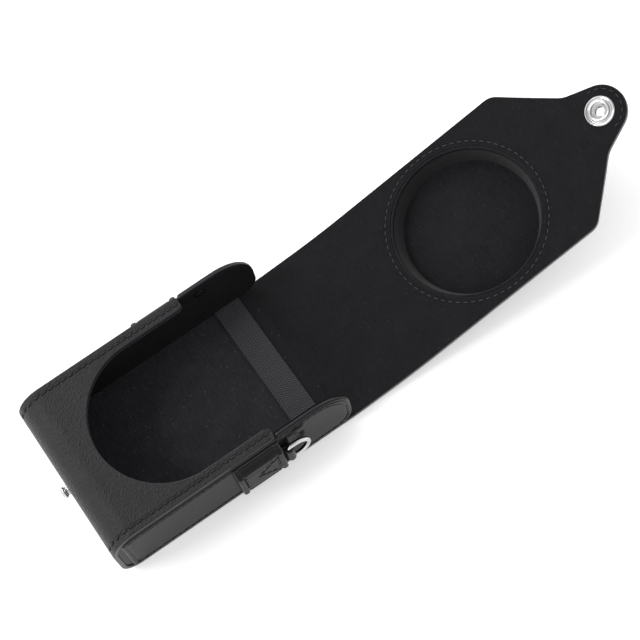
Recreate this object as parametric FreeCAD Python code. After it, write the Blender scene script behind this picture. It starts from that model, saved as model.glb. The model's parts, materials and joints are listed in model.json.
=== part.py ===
import FreeCAD
import Part
import math
import os

# Leather carrying case for a compact camera, lying open on its back.
#
# Frame: millimetres, +Z up, +Y from the closed end of the pocket towards the flap, +X to the right
# with the pocket's open side up.  The origin is the middle of the back face, on the surface that
# the case lies on, halfway along the pocket.
#
# One long wrap of leather makes the front, the rounded closed end, the back and the flap.  Two
# gussets close the sides.  The flap folds over the open end, across the front and round the closed
# end, where its tongue's snap closes on a stud.  It is built flat, in its own coordinates:
# X across, Y as the distance from the hinge along the lining, and Z = 0 on the lining's face.

# Pocket
CASE_WIDTH = 71.4          # across the wrap
CASE_LENGTH = 108.5        # closed end to the tips of the gussets
CASE_DEPTH = 34.0          # back face to front face
FRONT_END_RADIUS = 11.5    # wrap, where the front turns into the closed end
BACK_END_RADIUS = 8.0      # wrap, where the back turns into the closed end

# Layers, the same in every panel
LEATHER = 1.2
BOARD = 0.8
LINING = 0.7
BOARD_INSET = 1.5          # turned edge of leather round each board

# Front cut-out, open towards the flap
CUTOUT_RADIUS = 30.2
CUTOUT_FROM_CLOSED_END = 17.55
LEG_END_FROM_TIP = 32.65
LEG_CORNER_RADIUS = 2.0

# Gussets
GUSSET_PROUD = 0.5         # outer face beyond the edge of the wrap
GUSSET_FACE = 1.0          # raised outer layer, which stops short of the closed end
GUSSET_END_GAP = 2.25      # bare strip between the raised layer and the wrap's inner face
EAR_RADIUS = 16.0
EAR_FOOT_RADIUS = 9.0      # where the free end turns down to the back

# Gusset rivets
RIVET_SHANK_RADIUS = 1.1
RIVET_HEAD_RADIUS = 2.6
RIVET_CAP_HEIGHT = 1.1
RIVET_WASHER_HEIGHT = 0.7
RIVET_FROM_TIP = 23.7
RIVET_BELOW_FRONT = 5.5

# Strap sleeves
SLEEVE_LENGTH = 20.5
SLEEVE_FROM_TIP = 32.95    # its nearer edge, from the gusset's tip
SLEEVE_LEATHER = 1.2
SLEEVE_MARGIN = 1.0        # bare gusset above and below
SLEEVE_SHOULDER = 6.0      # sloping border beside the raised middle
SLEEVE_RIDGE_WIDTH = 2.4
SLEEVE_RIDGE_HEIGHT = 0.5

# Ring tabs and D-rings
RING_WIRE = 2.0
RING_WIDTH = 12.2          # between the centre lines of the arms
RING_ARM = 1.1             # straight part of each arm
RING_FROM_SLEEVE = 2.7     # sleeve's edge to the bar's axis
TAB_WIDTH = 9.4
TAB_PLY = 0.95
TAB_RUNNING_GAP = 0.08     # round the bar
TAB_TAIL = 16.0            # length under the sleeve
FIT_GAP = 0.05

# Elastic band across the pocket
BAND_WIDTH = 11.7
BAND_THICKNESS = 0.8
BAND_FROM_TIP = 10.0

# Snap stud in the closed end
STUD_HEIGHT_Z = 17.4
STUD_FLANGE_RADIUS = 2.6
STUD_FLANGE_HEIGHT = 0.5
STUD_NECK_RADIUS = 1.85
STUD_NECK_TOP = 1.3
STUD_BULB_RADIUS = 2.45
STUD_HEIGHT = 3.5
STUD_POST_RADIUS = 1.2
STUD_PLATE_RADIUS = 4.5
STUD_PLATE_HEIGHT = 0.5

# Snap socket in the tongue
SNAP_RADIUS = 6.25
SNAP_BARREL_WALL = 0.45
SNAP_RUNNING_GAP = 0.3     # round the stud's bulb
SNAP_RING_HEIGHT = 0.9
SNAP_EYELET_HEIGHT = 1.0   # outer side of the tongue
SNAP_EYELET_RADIUS = 2.3   # open middle, seen right through
SNAP_SPRING_WIRE = 0.4
SNAP_SPRING_GAP = 0.2      # round the stud's neck
SNAP_SPRING_SEAT = 0.25    # depth of the groove that holds the spring

# Flap
FLAP_CLEARANCE = 1.1       # closed flap's lining to the case
FOLD_COUNT = 3             # folds that share each right-angle bend
HINGE_GAP = 0.15           # each side of a fold
FRONT_BEND_AT_REST = 7.5   # degrees, spread over the folds at the ears
TONGUE_BEND_AT_REST = 9.0  # degrees, spread over the folds before the tongue
TAPER_CORNER_RADIUS = 7.0
TAPER_ANGLE = 46.2         # degrees, between the flap's tapering edge and the fold lines
NECK_RADIUS = 11.0
NECK_BEHIND_SNAP = 7.7
TONGUE_ANGLE = 21.7        # degrees, between the tongue's edge and its middle line
TONGUE_RADIUS = 10.9

# Lens cup in the flap
CUP_CENTRE_Y = 0.0         # place along the case when the flap is closed
CUP_DEPTH = 8.4            # lining face to the lining on the cup's floor
CUP_MOUTH_RADIUS = 30.3
CUP_DRAFT = 2.15           # the floor's radius is smaller by this
CUP_LINING = 0.5
CUP_FORMER = 0.8
CUP_LEATHER = 1.2
CUP_FLANGE = 2.8
CUP_EDGE_RADIUS = 1.5

# Stitching
THREAD = 0.5
THREAD_PROUD = 0.25
STITCH_PITCH = 3.05
STITCH_LENGTH = 2.3
FRONT_SEAM_INSET = 3.0
GUSSET_SEAM_INSET = 1.6
SLEEVE_SEAM_INSET = 3.0
CUP_SEAM_OFFSET = 3.2
CUP_STITCH_COUNT = 68
TONGUE_SEAM_INSET = 1.8
CHEVRON_LENGTH = 9.4
CHEVRON_HEIGHT = 12.0

# Derived sizes
half_width = CASE_WIDTH / 2
half_length = CASE_LENGTH / 2
cutout_centre_y = -half_length + CUTOUT_FROM_CLOSED_END + CUTOUT_RADIUS
leg_end_y = half_length - LEG_END_FROM_TIP
sleeve_end_y = half_length - SLEEVE_FROM_TIP
sleeve_start_y = sleeve_end_y - SLEEVE_LENGTH
shell = LEATHER + BOARD
panel = shell + LINING
gusset_outer = half_width + GUSSET_PROUD
gusset_board_outer = gusset_outer - LEATHER
gusset_board_inner = gusset_board_outer - BOARD
gusset_inner = gusset_board_inner - LINING
mid_depth = CASE_DEPTH / 2

X_AXIS = FreeCAD.Vector(1, 0, 0)
Y_AXIS = FreeCAD.Vector(0, 1, 0)
Z_AXIS = FreeCAD.Vector(0, 0, 1)
ORIGIN = FreeCAD.Vector(0, 0, 0)


# ---------------------------------------------------------------- outlines and solids

def rounded_edges(corners):
    """Edges of a closed outline.  Each corner is (u, v) or (u, v, radius) and becomes an arc."""
    points = [FreeCAD.Vector(c[0], c[1], 0) for c in corners]
    radii = [c[2] if len(c) > 2 else 0.0 for c in corners]
    stretches = []
    for i, corner in enumerate(points):
        back = (points[i - 1] - corner).normalize()
        ahead = (points[(i + 1) % len(points)] - corner).normalize()
        if radii[i] == 0.0:
            stretches.append((corner, None, corner))
            continue
        half_angle = back.getAngle(ahead) / 2
        tangent = radii[i] / math.tan(half_angle)
        middle = (back + ahead).normalize()
        centre = corner + middle * (radii[i] / math.sin(half_angle))
        stretches.append((corner + back * tangent, centre - middle * radii[i], corner + ahead * tangent))
    edges = []
    for i, (start, middle, end) in enumerate(stretches):
        if middle is not None:
            edges.append(Part.Arc(start, middle, end).toShape())
        following = stretches[(i + 1) % len(stretches)][0]
        if end.distanceToPoint(following) > 1e-6:
            edges.append(Part.makeLine(end, following))
    return edges


def drawn_in(corners, inset):
    """The same outline, listed anticlockwise, moved inwards all round with its roundings."""
    points = [FreeCAD.Vector(c[0], c[1], 0) for c in corners]
    radii = [c[2] if len(c) > 2 else 0.0 for c in corners]
    moved_corners = []
    for i, corner in enumerate(points):
        before = (corner - points[i - 1]).normalize()
        after = (points[(i + 1) % len(points)] - corner).normalize()
        inward = FreeCAD.Vector(-before.y - after.y, before.x + after.x, 0)
        place = corner + inward * (inset / (1 + before.dot(after)))
        outward_corner = before.cross(after).z > 0
        radius = radii[i] - inset if outward_corner else radii[i] + inset
        moved_corners.append((place.x, place.y, max(radius, 0.0) if radii[i] else 0.0))
    return moved_corners


def plate_xy(corners, low, high):
    """Plate with its outline in X and Y, between two heights."""
    face = Part.Face(Part.Wire(rounded_edges(corners)))
    face.translate(Z_AXIS * low)
    return face.extrude(Z_AXIS * (high - low))


def plate_yz(corners, low, high):
    """Plate with its outline in Y and Z, between two places along X."""
    plate = plate_xy(corners, low, high)
    plate.rotate(ORIGIN, FreeCAD.Vector(1, 1, 1), 120)
    return plate


def plate_xz(corners, low, high):
    """Plate with its outline in X and Z, between two places along Y."""
    plate = plate_xy(corners, -high, -low)
    plate.rotate(ORIGIN, X_AXIS, 90)
    return plate


def turned(corners):
    """Solid of revolution about Z from an outline of (radius, height) corners."""
    face = Part.Face(Part.Wire(rounded_edges(corners)))
    face.rotate(ORIGIN, X_AXIS, 90)
    return face.revolve(ORIGIN, Z_AXIS, 360)


def box(x_low, x_high, y_low, y_high, z_low, z_high):
    size = (x_high - x_low, y_high - y_low, z_high - z_low)
    return Part.makeBox(*size, FreeCAD.Vector(x_low, y_low, z_low))


def disc(radius, low, high):
    return Part.makeCylinder(radius, high - low, Z_AXIS * low)


def moved(shape, x=0.0, y=0.0, z=0.0):
    copy = shape.copy()
    copy.translate(FreeCAD.Vector(x, y, z))
    return copy


def mirrored(shape):
    """The same piece on the left side of the case."""
    return shape.mirror(ORIGIN, X_AXIS)


def facing_closed_end(shape):
    """Turn a piece built along +Z so that it points out of the closed end, at the stud's place."""
    copy = shape.copy()
    copy.rotate(ORIGIN, X_AXIS, 90)
    return moved(copy, 0, -half_length, STUD_HEIGHT_Z)


def stitch(width, length, height):
    """One stitch along Y, centred, lying on Z = 0."""
    return box(-width / 2, width / 2, -length / 2, length / 2, 0, height)


def stitches_along(start, end, inset_ends=STITCH_PITCH / 2):
    """Stitches on Z = 0 from one point to another, at an even pitch."""
    run = FreeCAD.Vector(end[0] - start[0], end[1] - start[1], 0)
    usable = run.Length - 2 * inset_ends
    count = max(1, int(round(usable / STITCH_PITCH)))
    angle = math.degrees(math.atan2(run.y, run.x)) - 90
    direction = FreeCAD.Vector(run).normalize()
    found = []
    for i in range(count):
        centre = FreeCAD.Vector(start[0], start[1], 0) + direction * (inset_ends + (i + 0.5) * usable / count)
        one = stitch(THREAD, STITCH_LENGTH, THREAD_PROUD)
        one.rotate(ORIGIN, Z_AXIS, angle)
        one.translate(centre)
        found.append(one)
    return found


NODES = {}


def keep(name, shape):
    """File a finished piece under its name, as a plain solid or a group of separate solids."""
    clean = shape.removeSplitter() if len(shape.Solids) == 1 else shape
    NODES[name] = clean.Solids[0] if len(clean.Solids) == 1 else Part.makeCompound(clean.Solids)


def keep_pair(name, shape):
    keep("right_" + name, shape)
    keep("left_" + name, mirrored(shape))


# ---------------------------------------------------------------- wrap, boards and pocket lining

hinge_y = half_length + FLAP_CLEARANCE
back_end_y = hinge_y - HINGE_GAP


def wrap_profile(outer, inner):
    """C-shaped section between two offsets inwards from the wrap's outer face."""
    def at(offset):
        return (offset, -half_length + offset, CASE_DEPTH - offset,
                BACK_END_RADIUS - offset, FRONT_END_RADIUS - offset)
    low_o, end_o, high_o, back_o, front_o = at(outer)
    low_i, end_i, high_i, back_i, front_i = at(inner)
    return [(back_end_y, low_o), (end_o, low_o, back_o), (end_o, high_o, front_o), (leg_end_y, high_o),
            (leg_end_y, high_i), (end_i, high_i, front_i), (end_i, low_i, back_i), (back_end_y, low_i)]


def front_outline():
    """Front panel with its cut-out, seen from the front."""
    start = -half_length + FRONT_END_RADIUS
    bottom = cutout_centre_y - CUTOUT_RADIUS
    right = [(half_width, start), (half_width, leg_end_y, LEG_CORNER_RADIUS / 2),
             (CUTOUT_RADIUS, leg_end_y, LEG_CORNER_RADIUS), (CUTOUT_RADIUS, bottom, CUTOUT_RADIUS)]
    return right + [(-x, y, *rest) for x, y, *rest in reversed(right)]


def front_window():
    """Everything above mid-depth that isn't front panel, past the closed end's rounding."""
    start = -half_length + FRONT_END_RADIUS
    around = box(-CASE_WIDTH, CASE_WIDTH, start, CASE_LENGTH, mid_depth, CASE_DEPTH + 1)
    panel_area = plate_xy(front_outline(), mid_depth, CASE_DEPTH + 1)
    return around.cut(panel_area)


def make_case():
    window = front_window()
    board_x = half_width - BOARD_INSET
    front_board = drawn_in(front_outline(), BOARD_INSET)
    front_board = plate_xy(front_board, CASE_DEPTH - shell, CASE_DEPTH - LEATHER)
    back_board = box(-board_x, board_x, -half_length + BACK_END_RADIUS, back_end_y - BOARD_INSET,
                     LEATHER, shell)
    end_board = box(-board_x, board_x, -half_length + LEATHER, -half_length + shell,
                    BACK_END_RADIUS, CASE_DEPTH - FRONT_END_RADIUS)

    wrap = plate_yz(wrap_profile(0, shell), -half_width, half_width).cut(window)
    for board in (front_board, back_board, end_board):
        wrap = wrap.cut(board)
    lining = plate_yz(wrap_profile(shell, panel), -gusset_inner, gusset_inner).cut(window)

    stud_post = facing_closed_end(disc(STUD_POST_RADIUS, -shell, 0))
    stud_plate = facing_closed_end(disc(STUD_PLATE_RADIUS, -shell - STUD_PLATE_HEIGHT, -shell))
    bulb_round = (STUD_HEIGHT - STUD_NECK_TOP) * 0.42
    stud_head = turned([(0, 0), (STUD_FLANGE_RADIUS, 0), (STUD_FLANGE_RADIUS, STUD_FLANGE_HEIGHT),
                        (STUD_NECK_RADIUS, STUD_FLANGE_HEIGHT), (STUD_NECK_RADIUS, STUD_NECK_TOP),
                        (STUD_BULB_RADIUS, (STUD_NECK_TOP + STUD_HEIGHT) / 2 - bulb_round / 2, 0.2),
                        (STUD_BULB_RADIUS, STUD_HEIGHT, bulb_round), (0, STUD_HEIGHT)])
    keep("outer_wrap", wrap.cut(stud_post))
    keep("front_board", front_board)
    keep("back_board", back_board)
    keep("end_board", end_board.cut(stud_post))
    keep("pocket_lining", lining.cut(stud_plate))
    keep("snap_stud", facing_closed_end(stud_head).fuse(stud_post))
    keep("stud_plate", stud_plate)

    band_y = half_length - BAND_FROM_TIP
    keep("elastic_band", box(-gusset_inner, gusset_inner, band_y - BAND_WIDTH, band_y,
                             panel, panel + BAND_THICKNESS))

    seam_x = half_width - FRONT_SEAM_INSET
    seam_start = -half_length + FRONT_END_RADIUS
    seams = stitches_along((seam_x, seam_start), (seam_x, leg_end_y))
    seams += stitches_along((-seam_x, seam_start), (-seam_x, leg_end_y))
    keep("front_seam_thread", moved(Part.makeCompound(seams), z=CASE_DEPTH))


# ---------------------------------------------------------------- gussets

def gusset_outline():
    """Gusset in Y and Z: it fills the wrap's section, and past the legs it stands free."""
    low = shell
    high = CASE_DEPTH - shell
    end = -half_length + shell
    step_y = leg_end_y + HINGE_GAP
    return [(end, high, FRONT_END_RADIUS - shell), (end, low, BACK_END_RADIUS - shell),
            (half_length, low, EAR_FOOT_RADIUS), (half_length, CASE_DEPTH, EAR_RADIUS),
            (step_y, CASE_DEPTH), (step_y, high)]


rivet_y = half_length - RIVET_FROM_TIP
rivet_z = CASE_DEPTH - RIVET_BELOW_FRONT


def along_x(shape):
    """Turn a piece built along +Z to point along +X."""
    copy = shape.copy()
    copy.rotate(ORIGIN, Y_AXIS, 90)
    return copy


def make_gussets():
    outline = gusset_outline()
    board = plate_yz(drawn_in(outline, BOARD_INSET), gusset_board_inner, gusset_board_outer)
    bare_end = -half_length + shell + GUSSET_END_GAP
    bare = box(gusset_outer - GUSSET_FACE, gusset_outer, -half_length, bare_end, 0, CASE_DEPTH)
    leather = plate_yz(outline, gusset_board_inner, gusset_outer).cut(board).cut(bare)
    lining = plate_yz(outline, gusset_inner, gusset_board_inner)

    shank = moved(along_x(disc(RIVET_SHANK_RADIUS, gusset_inner, gusset_outer)), y=rivet_y, z=rivet_z)
    washer = disc(RIVET_HEAD_RADIUS, gusset_outer, gusset_outer + RIVET_WASHER_HEIGHT)
    washer = moved(along_x(washer), y=rivet_y, z=rivet_z)
    cap = turned([(0, 0), (RIVET_HEAD_RADIUS, 0), (RIVET_HEAD_RADIUS, RIVET_CAP_HEIGHT, 0.5),
                  (0, RIVET_CAP_HEIGHT)])
    cap.rotate(ORIGIN, Y_AXIS, -90)
    keep_pair("gusset_leather", leather.cut(shank))
    keep_pair("gusset_board", board.cut(shank))
    keep_pair("gusset_lining", lining.cut(shank))
    keep_pair("gusset_rivet", shank.fuse(washer))
    keep_pair("rivet_cap", moved(cap, gusset_inner, rivet_y, rivet_z))

    inset = GUSSET_SEAM_INSET
    low = shell + inset
    high = CASE_DEPTH - shell - inset
    end = -half_length + shell + GUSSET_END_GAP + inset
    seams = stitches_along((end, low), (sleeve_start_y, low))
    seams += stitches_along((end, high), (sleeve_start_y, high))
    seams += stitches_along((end, low), (end, high))
    foot = half_length - EAR_FOOT_RADIUS
    seams += stitches_along((sleeve_end_y, low), (foot, low))
    thread = Part.makeCompound(seams)
    thread.rotate(ORIGIN, FreeCAD.Vector(1, 1, 1), 120)
    keep_pair("gusset_thread", moved(thread, x=gusset_outer))


# ---------------------------------------------------------------- strap sleeves, tabs and rings

tab_thickness = 2 * TAB_PLY
loop_bore = RING_WIRE / 2 + TAB_RUNNING_GAP
loop_radius = loop_bore + TAB_PLY
ring_x = gusset_outer + FIT_GAP + loop_radius
ring_y = sleeve_end_y + RING_FROM_SLEEVE
ring_z = mid_depth
sleeve_raised = gusset_outer + FIT_GAP + tab_thickness + FIT_GAP + SLEEVE_LEATHER


def make_tab():
    """Strap folded round the ring's bar, its two plies running back under the sleeve."""
    inner = gusset_outer + FIT_GAP
    outer = inner + tab_thickness
    tail = box(inner, outer, ring_y - RING_FROM_SLEEVE - TAB_TAIL, ring_y - loop_bore,
               ring_z - TAB_WIDTH / 2, ring_z + TAB_WIDTH / 2)
    neck = plate_xy([(inner, ring_y - RING_FROM_SLEEVE), (outer, ring_y - RING_FROM_SLEEVE),
                     (ring_x + loop_radius * 0.8, ring_y - loop_radius * 0.6), (ring_x, ring_y),
                     (inner, ring_y)], ring_z - TAB_WIDTH / 2, ring_z + TAB_WIDTH / 2)
    loop = moved(disc(loop_radius, -TAB_WIDTH / 2, TAB_WIDTH / 2), ring_x, ring_y, ring_z)
    bore = moved(disc(loop_bore, -TAB_WIDTH, TAB_WIDTH), ring_x, ring_y, ring_z)
    return tail.fuse(neck).fuse(loop).cut(bore)


def make_sleeve():
    """Leather patch over the tab: raised middle, sloping borders and a turned ridge at each end."""
    low = shell + SLEEVE_MARGIN
    high = CASE_DEPTH - shell - SLEEVE_MARGIN
    base = gusset_outer + SLEEVE_LEATHER
    end = sleeve_end_y

    def section(extra):
        return [(gusset_outer, low), (base + extra, low), (sleeve_raised + extra, low + SLEEVE_SHOULDER, 3),
                (sleeve_raised + extra, high - SLEEVE_SHOULDER, 3), (base + extra, high), (gusset_outer, high)]
    body = plate_xz(section(0), sleeve_start_y, end)
    for start in (sleeve_start_y, end - SLEEVE_RIDGE_WIDTH):
        body = body.fuse(plate_xz(section(SLEEVE_RIDGE_HEIGHT), start, start + SLEEVE_RIDGE_WIDTH))
    half_tab = TAB_WIDTH / 2 + FIT_GAP
    pocket = box(gusset_outer, sleeve_raised - SLEEVE_LEATHER, end - TAB_TAIL - FIT_GAP, end + 1,
                 ring_z - half_tab, ring_z + half_tab)
    return body.cut(pocket)


def make_ring():
    """D-ring in the YZ plane: a straight bar, two short arms and a half-round bow."""
    half = RING_WIDTH / 2
    radius = RING_WIRE / 2
    corner = radius * 1.3
    arm = RING_ARM + corner

    def point(y, z):
        return FreeCAD.Vector(ring_x, ring_y + y, ring_z + z)
    turn = corner * (1 - math.sqrt(0.5))
    edges = [Part.makeLine(point(0, -half + corner), point(0, half - corner)),
             Part.Arc(point(0, half - corner), point(turn, half - turn), point(corner, half)).toShape(),
             Part.makeLine(point(corner, half), point(arm, half)),
             Part.Arc(point(arm, half), point(arm + half, 0), point(arm, -half)).toShape(),
             Part.makeLine(point(arm, -half), point(corner, -half)),
             Part.Arc(point(corner, -half), point(turn, -half + turn), point(0, -half + corner)).toShape()]
    section = Part.Wire(Part.makeCircle(radius, point(0, 0), Z_AXIS))
    return Part.Wire(edges).makePipeShell([section], True, False)


def make_sides():
    keep_pair("strap_sleeve", make_sleeve())
    keep_pair("ring_tab", make_tab())
    keep_pair("d_ring", make_ring())

    end = sleeve_end_y
    flat = SLEEVE_SHOULDER + SLEEVE_MARGIN + shell + STITCH_PITCH / 2
    seams = []
    for y in (sleeve_start_y + SLEEVE_SEAM_INSET, end - SLEEVE_SEAM_INSET):
        seams += stitches_along((y, flat), (y, CASE_DEPTH - flat), 0.3)
    apex = (end - SLEEVE_SEAM_INSET - CHEVRON_LENGTH, mid_depth)
    for side in (-1, 1):
        far = (end - SLEEVE_SEAM_INSET - THREAD, mid_depth + side * CHEVRON_HEIGHT / 2)
        seams += stitches_along(apex, far, 0.9)
    thread = Part.makeCompound(seams)
    thread.rotate(ORIGIN, FreeCAD.Vector(1, 1, 1), 120)
    keep_pair("sleeve_thread", moved(thread, x=sleeve_raised))


# ---------------------------------------------------------------- flap, built flat

fold_angle = 90.0 / FOLD_COUNT


def fold_tangent(radius):
    """Half of one fold's share of a right-angle bend, along straight panels."""
    return (radius + FLAP_CLEARANCE) * math.tan(math.radians(fold_angle / 2))


ear_tangent = fold_tangent(EAR_RADIUS)
end_tangent = fold_tangent(FRONT_END_RADIUS)
ear_folds = [CASE_DEPTH - EAR_RADIUS - panel + ear_tangent * (1 + 2 * i) for i in range(FOLD_COUNT)]
front_start = ear_folds[-1] + ear_tangent
front_run = CASE_LENGTH - EAR_RADIUS - FRONT_END_RADIUS
tongue_folds = [front_start + front_run + end_tangent * (1 + 2 * i) for i in range(FOLD_COUNT)]
snap_s = tongue_folds[-1] + end_tangent + CASE_DEPTH - FRONT_END_RADIUS - STUD_HEIGHT_Z
cup_s = front_start + half_length - EAR_RADIUS - CUP_CENTRE_Y
tip_s = snap_s + TONGUE_RADIUS
tongue_apex_s = snap_s + TONGUE_RADIUS / math.sin(math.radians(TONGUE_ANGLE))
neck_s = snap_s - NECK_BEHIND_SNAP
neck_x = (tongue_apex_s - neck_s) * math.tan(math.radians(TONGUE_ANGLE))
taper_s = neck_s - (half_width - neck_x) * math.tan(math.radians(TAPER_ANGLE))

cup_floor_radius = CUP_MOUTH_RADIUS - CUP_DRAFT
cup_wall = CUP_LINING + CUP_FORMER + CUP_LEATHER
cup_outer_depth = CUP_DEPTH + cup_wall
cup_outer_radius = CUP_MOUTH_RADIUS + cup_wall
cup_flange_radius = cup_outer_radius + CUP_FLANGE


def flap_outline():
    """Whole flap seen from its lining side: straight edges, tapering end and round tongue."""
    right = [(half_width, 0), (half_width, taper_s, TAPER_CORNER_RADIUS), (neck_x, neck_s, NECK_RADIUS)]
    tip = [(0, tongue_apex_s, TONGUE_RADIUS)]
    return right + tip + [(-x, y, *rest) for x, y, *rest in reversed(right)]


def flap_stretch(start, end, low, high, inset=0.0, end_inset=0.0):
    """Piece of the flap between two folds and two levels."""
    whole = plate_xy(drawn_in(flap_outline(), inset), low, high)
    slab = box(-CASE_WIDTH, CASE_WIDTH, start + HINGE_GAP + end_inset, end - HINGE_GAP - end_inset, low, high)
    return whole.common(slab)


ear_step = FRONT_BEND_AT_REST / FOLD_COUNT
tongue_step = TONGUE_BEND_AT_REST / FOLD_COUNT
fold_lines = [0.0] + ear_folds + tongue_folds


def fold_slopes(first):
    """Slope of each stretch of the flap at rest, in degrees, from the hinge outwards."""
    slopes = [first]
    for step in [ear_step] * FOLD_COUNT + [tongue_step] * FOLD_COUNT:
        slopes.append(slopes[-1] + step)
    return slopes


def fold_places(first):
    """Where each fold line lies at rest, as (y, z) pairs."""
    slopes = fold_slopes(first)
    places = [(hinge_y, panel)]
    for i in range(1, len(fold_lines)):
        run = fold_lines[i] - fold_lines[i - 1]
        slope = math.radians(slopes[i - 1])
        y, z = places[-1]
        places.append((y + run * math.cos(slope), z + run * math.sin(slope)))
    return places


def cup_lowest(first):
    """Height of the lowest point of the lens cup when the flap leaves the hinge at a slope."""
    y, z = fold_places(first)[FOLD_COUNT]
    slope = math.radians(fold_slopes(first)[FOLD_COUNT])
    centre = z + (cup_s - ear_folds[-1]) * math.sin(slope)
    edge = cup_outer_radius - CUP_DRAFT - CUP_EDGE_RADIUS
    return centre - edge * math.sin(slope) - (cup_outer_depth - CUP_EDGE_RADIUS) * math.cos(slope) \
        - CUP_EDGE_RADIUS


def resting_slope():
    """Slope at which the lens cup just touches the surface that the case lies on."""
    low, high = -30.0, 60.0
    for _ in range(60):
        middle = (low + high) / 2
        if cup_lowest(middle) < 0:
            low = middle
        else:
            high = middle
    return high


hinge_slope = resting_slope()
slopes_at_rest = fold_slopes(hinge_slope)
places_at_rest = fold_places(hinge_slope)


def laid(shape, stretch):
    """Move a piece built flat to its place on one stretch of the flap at rest."""
    copy = moved(shape, y=-fold_lines[stretch])
    copy.rotate(ORIGIN, X_AXIS, slopes_at_rest[stretch])
    y, z = places_at_rest[stretch]
    return moved(copy, y=y, z=z)


FRONT_STRETCH = FOLD_COUNT
TONGUE_STRETCH = 2 * FOLD_COUNT


def make_flap_panels():
    ends = fold_lines[1:] + [tip_s + 2 * HINGE_GAP]
    names = {0: "flap_top", FRONT_STRETCH: "flap_front", TONGUE_STRETCH: "tongue"}
    snap_bore = moved(disc(STUD_BULB_RADIUS + SNAP_RUNNING_GAP + SNAP_BARREL_WALL, -panel, 0), y=snap_s)
    cup_hole = moved(disc(cup_outer_radius, -panel, -LINING), y=cup_s)
    flange_hole = moved(disc(cup_flange_radius, -shell, -LINING), y=cup_s)
    mouth_hole = moved(disc(CUP_MOUTH_RADIUS + CUP_LINING, -LINING, 0), y=cup_s)
    for stretch, (start, end) in enumerate(zip(fold_lines, ends)):
        leather = flap_stretch(start, end, -panel, -LINING)
        lining = flap_stretch(start, end, -LINING, 0)
        if stretch in (0, FRONT_STRETCH):
            board = flap_stretch(start, end, -BOARD - LINING, -LINING, BOARD_INSET, BOARD_INSET)
            if stretch == FRONT_STRETCH:
                leather = leather.cut(cup_hole)
                board = board.cut(flange_hole)
                leather = leather.cut(flange_hole)
                lining = lining.cut(mouth_hole)
            leather = leather.cut(board)
            keep(names[stretch] + "_board", laid(board, stretch))
        if stretch == TONGUE_STRETCH:
            leather = leather.cut(snap_bore)
            lining = lining.cut(snap_bore)
        if stretch in names:
            name = names[stretch]
        elif stretch < FRONT_STRETCH:
            name = "ear_fold_%d" % stretch
        else:
            name = "tongue_fold_%d" % (stretch - FRONT_STRETCH)
        keep(name + "_leather", laid(leather, stretch))
        keep(name + "_lining", laid(lining, stretch))


def cup_shell(offset_out, offset_in, top):
    """Moulded layer of the lens cup between two offsets outwards from its lining's face."""
    outer = (CUP_MOUTH_RADIUS + offset_out, CUP_DEPTH + offset_out)
    inner = (CUP_MOUTH_RADIUS + offset_in, CUP_DEPTH + offset_in)
    outer_round = CUP_EDGE_RADIUS * (0.3 + 0.7 * offset_out / cup_wall)
    inner_round = CUP_EDGE_RADIUS * (0.3 + 0.7 * offset_in / cup_wall)
    return [(0, -outer[1]), (outer[0] - CUP_DRAFT, -outer[1], outer_round), (outer[0], top),
            (inner[0], top), (inner[0] - CUP_DRAFT, -inner[1], inner_round), (0, -inner[1])]


def make_cup():
    former_out = CUP_LINING + CUP_FORMER
    leather = turned(cup_shell(cup_wall, former_out, -LINING))
    flange = disc(cup_flange_radius, -shell, -LINING)
    flange = flange.cut(disc(cup_outer_radius - CUP_LEATHER / 2, -shell, -LINING))
    leather = leather.fuse(flange)
    pieces = {"cup_leather": leather,
              "cup_former": turned(cup_shell(former_out, CUP_LINING, -LINING)),
              "cup_lining": turned(cup_shell(CUP_LINING, 0, 0))}
    stitches = []
    seam_radius = CUP_MOUTH_RADIUS + CUP_SEAM_OFFSET
    for i in range(CUP_STITCH_COUNT):
        one = moved(stitch(THREAD, STITCH_LENGTH * 0.85, THREAD_PROUD), x=seam_radius)
        one.rotate(ORIGIN, Z_AXIS, 360.0 * i / CUP_STITCH_COUNT)
        stitches.append(one)
    pieces["cup_thread"] = Part.makeCompound(stitches)
    for name, piece in pieces.items():
        keep(name, laid(moved(piece, y=cup_s), FRONT_STRETCH))


def make_snap():
    bore = STUD_BULB_RADIUS + SNAP_RUNNING_GAP
    barrel = bore + SNAP_BARREL_WALL
    spring_low = FLAP_CLEARANCE - STUD_NECK_TOP + 0.1
    spring_high = spring_low + SNAP_SPRING_WIRE
    groove = bore + SNAP_SPRING_SEAT
    ring = turned([(bore, -panel), (barrel, -panel), (barrel, 0), (SNAP_RADIUS, 0),
                   (SNAP_RADIUS, SNAP_RING_HEIGHT, SNAP_RING_HEIGHT * 0.8),
                   (bore, SNAP_RING_HEIGHT, 0.3), (bore, spring_high), (groove, spring_high),
                   (groove, spring_low), (bore, spring_low)])
    spring_bore = STUD_NECK_RADIUS + SNAP_SPRING_GAP
    spring = disc(groove, spring_low, spring_high).cut(disc(spring_bore, spring_low, spring_high))
    spring = spring.cut(box(0, SNAP_RADIUS, -0.6, 0.6, spring_low, spring_high))
    back = -panel - SNAP_EYELET_HEIGHT
    eyelet = turned([(SNAP_EYELET_RADIUS, -panel), (SNAP_EYELET_RADIUS, back, 0.3),
                     (SNAP_RADIUS, back, SNAP_EYELET_HEIGHT * 0.8), (SNAP_RADIUS, -panel)])
    for name, piece in (("snap_socket", ring), ("snap_spring", spring), ("snap_eyelet", eyelet)):
        keep(name, laid(moved(piece, y=snap_s), TONGUE_STRETCH))


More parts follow.
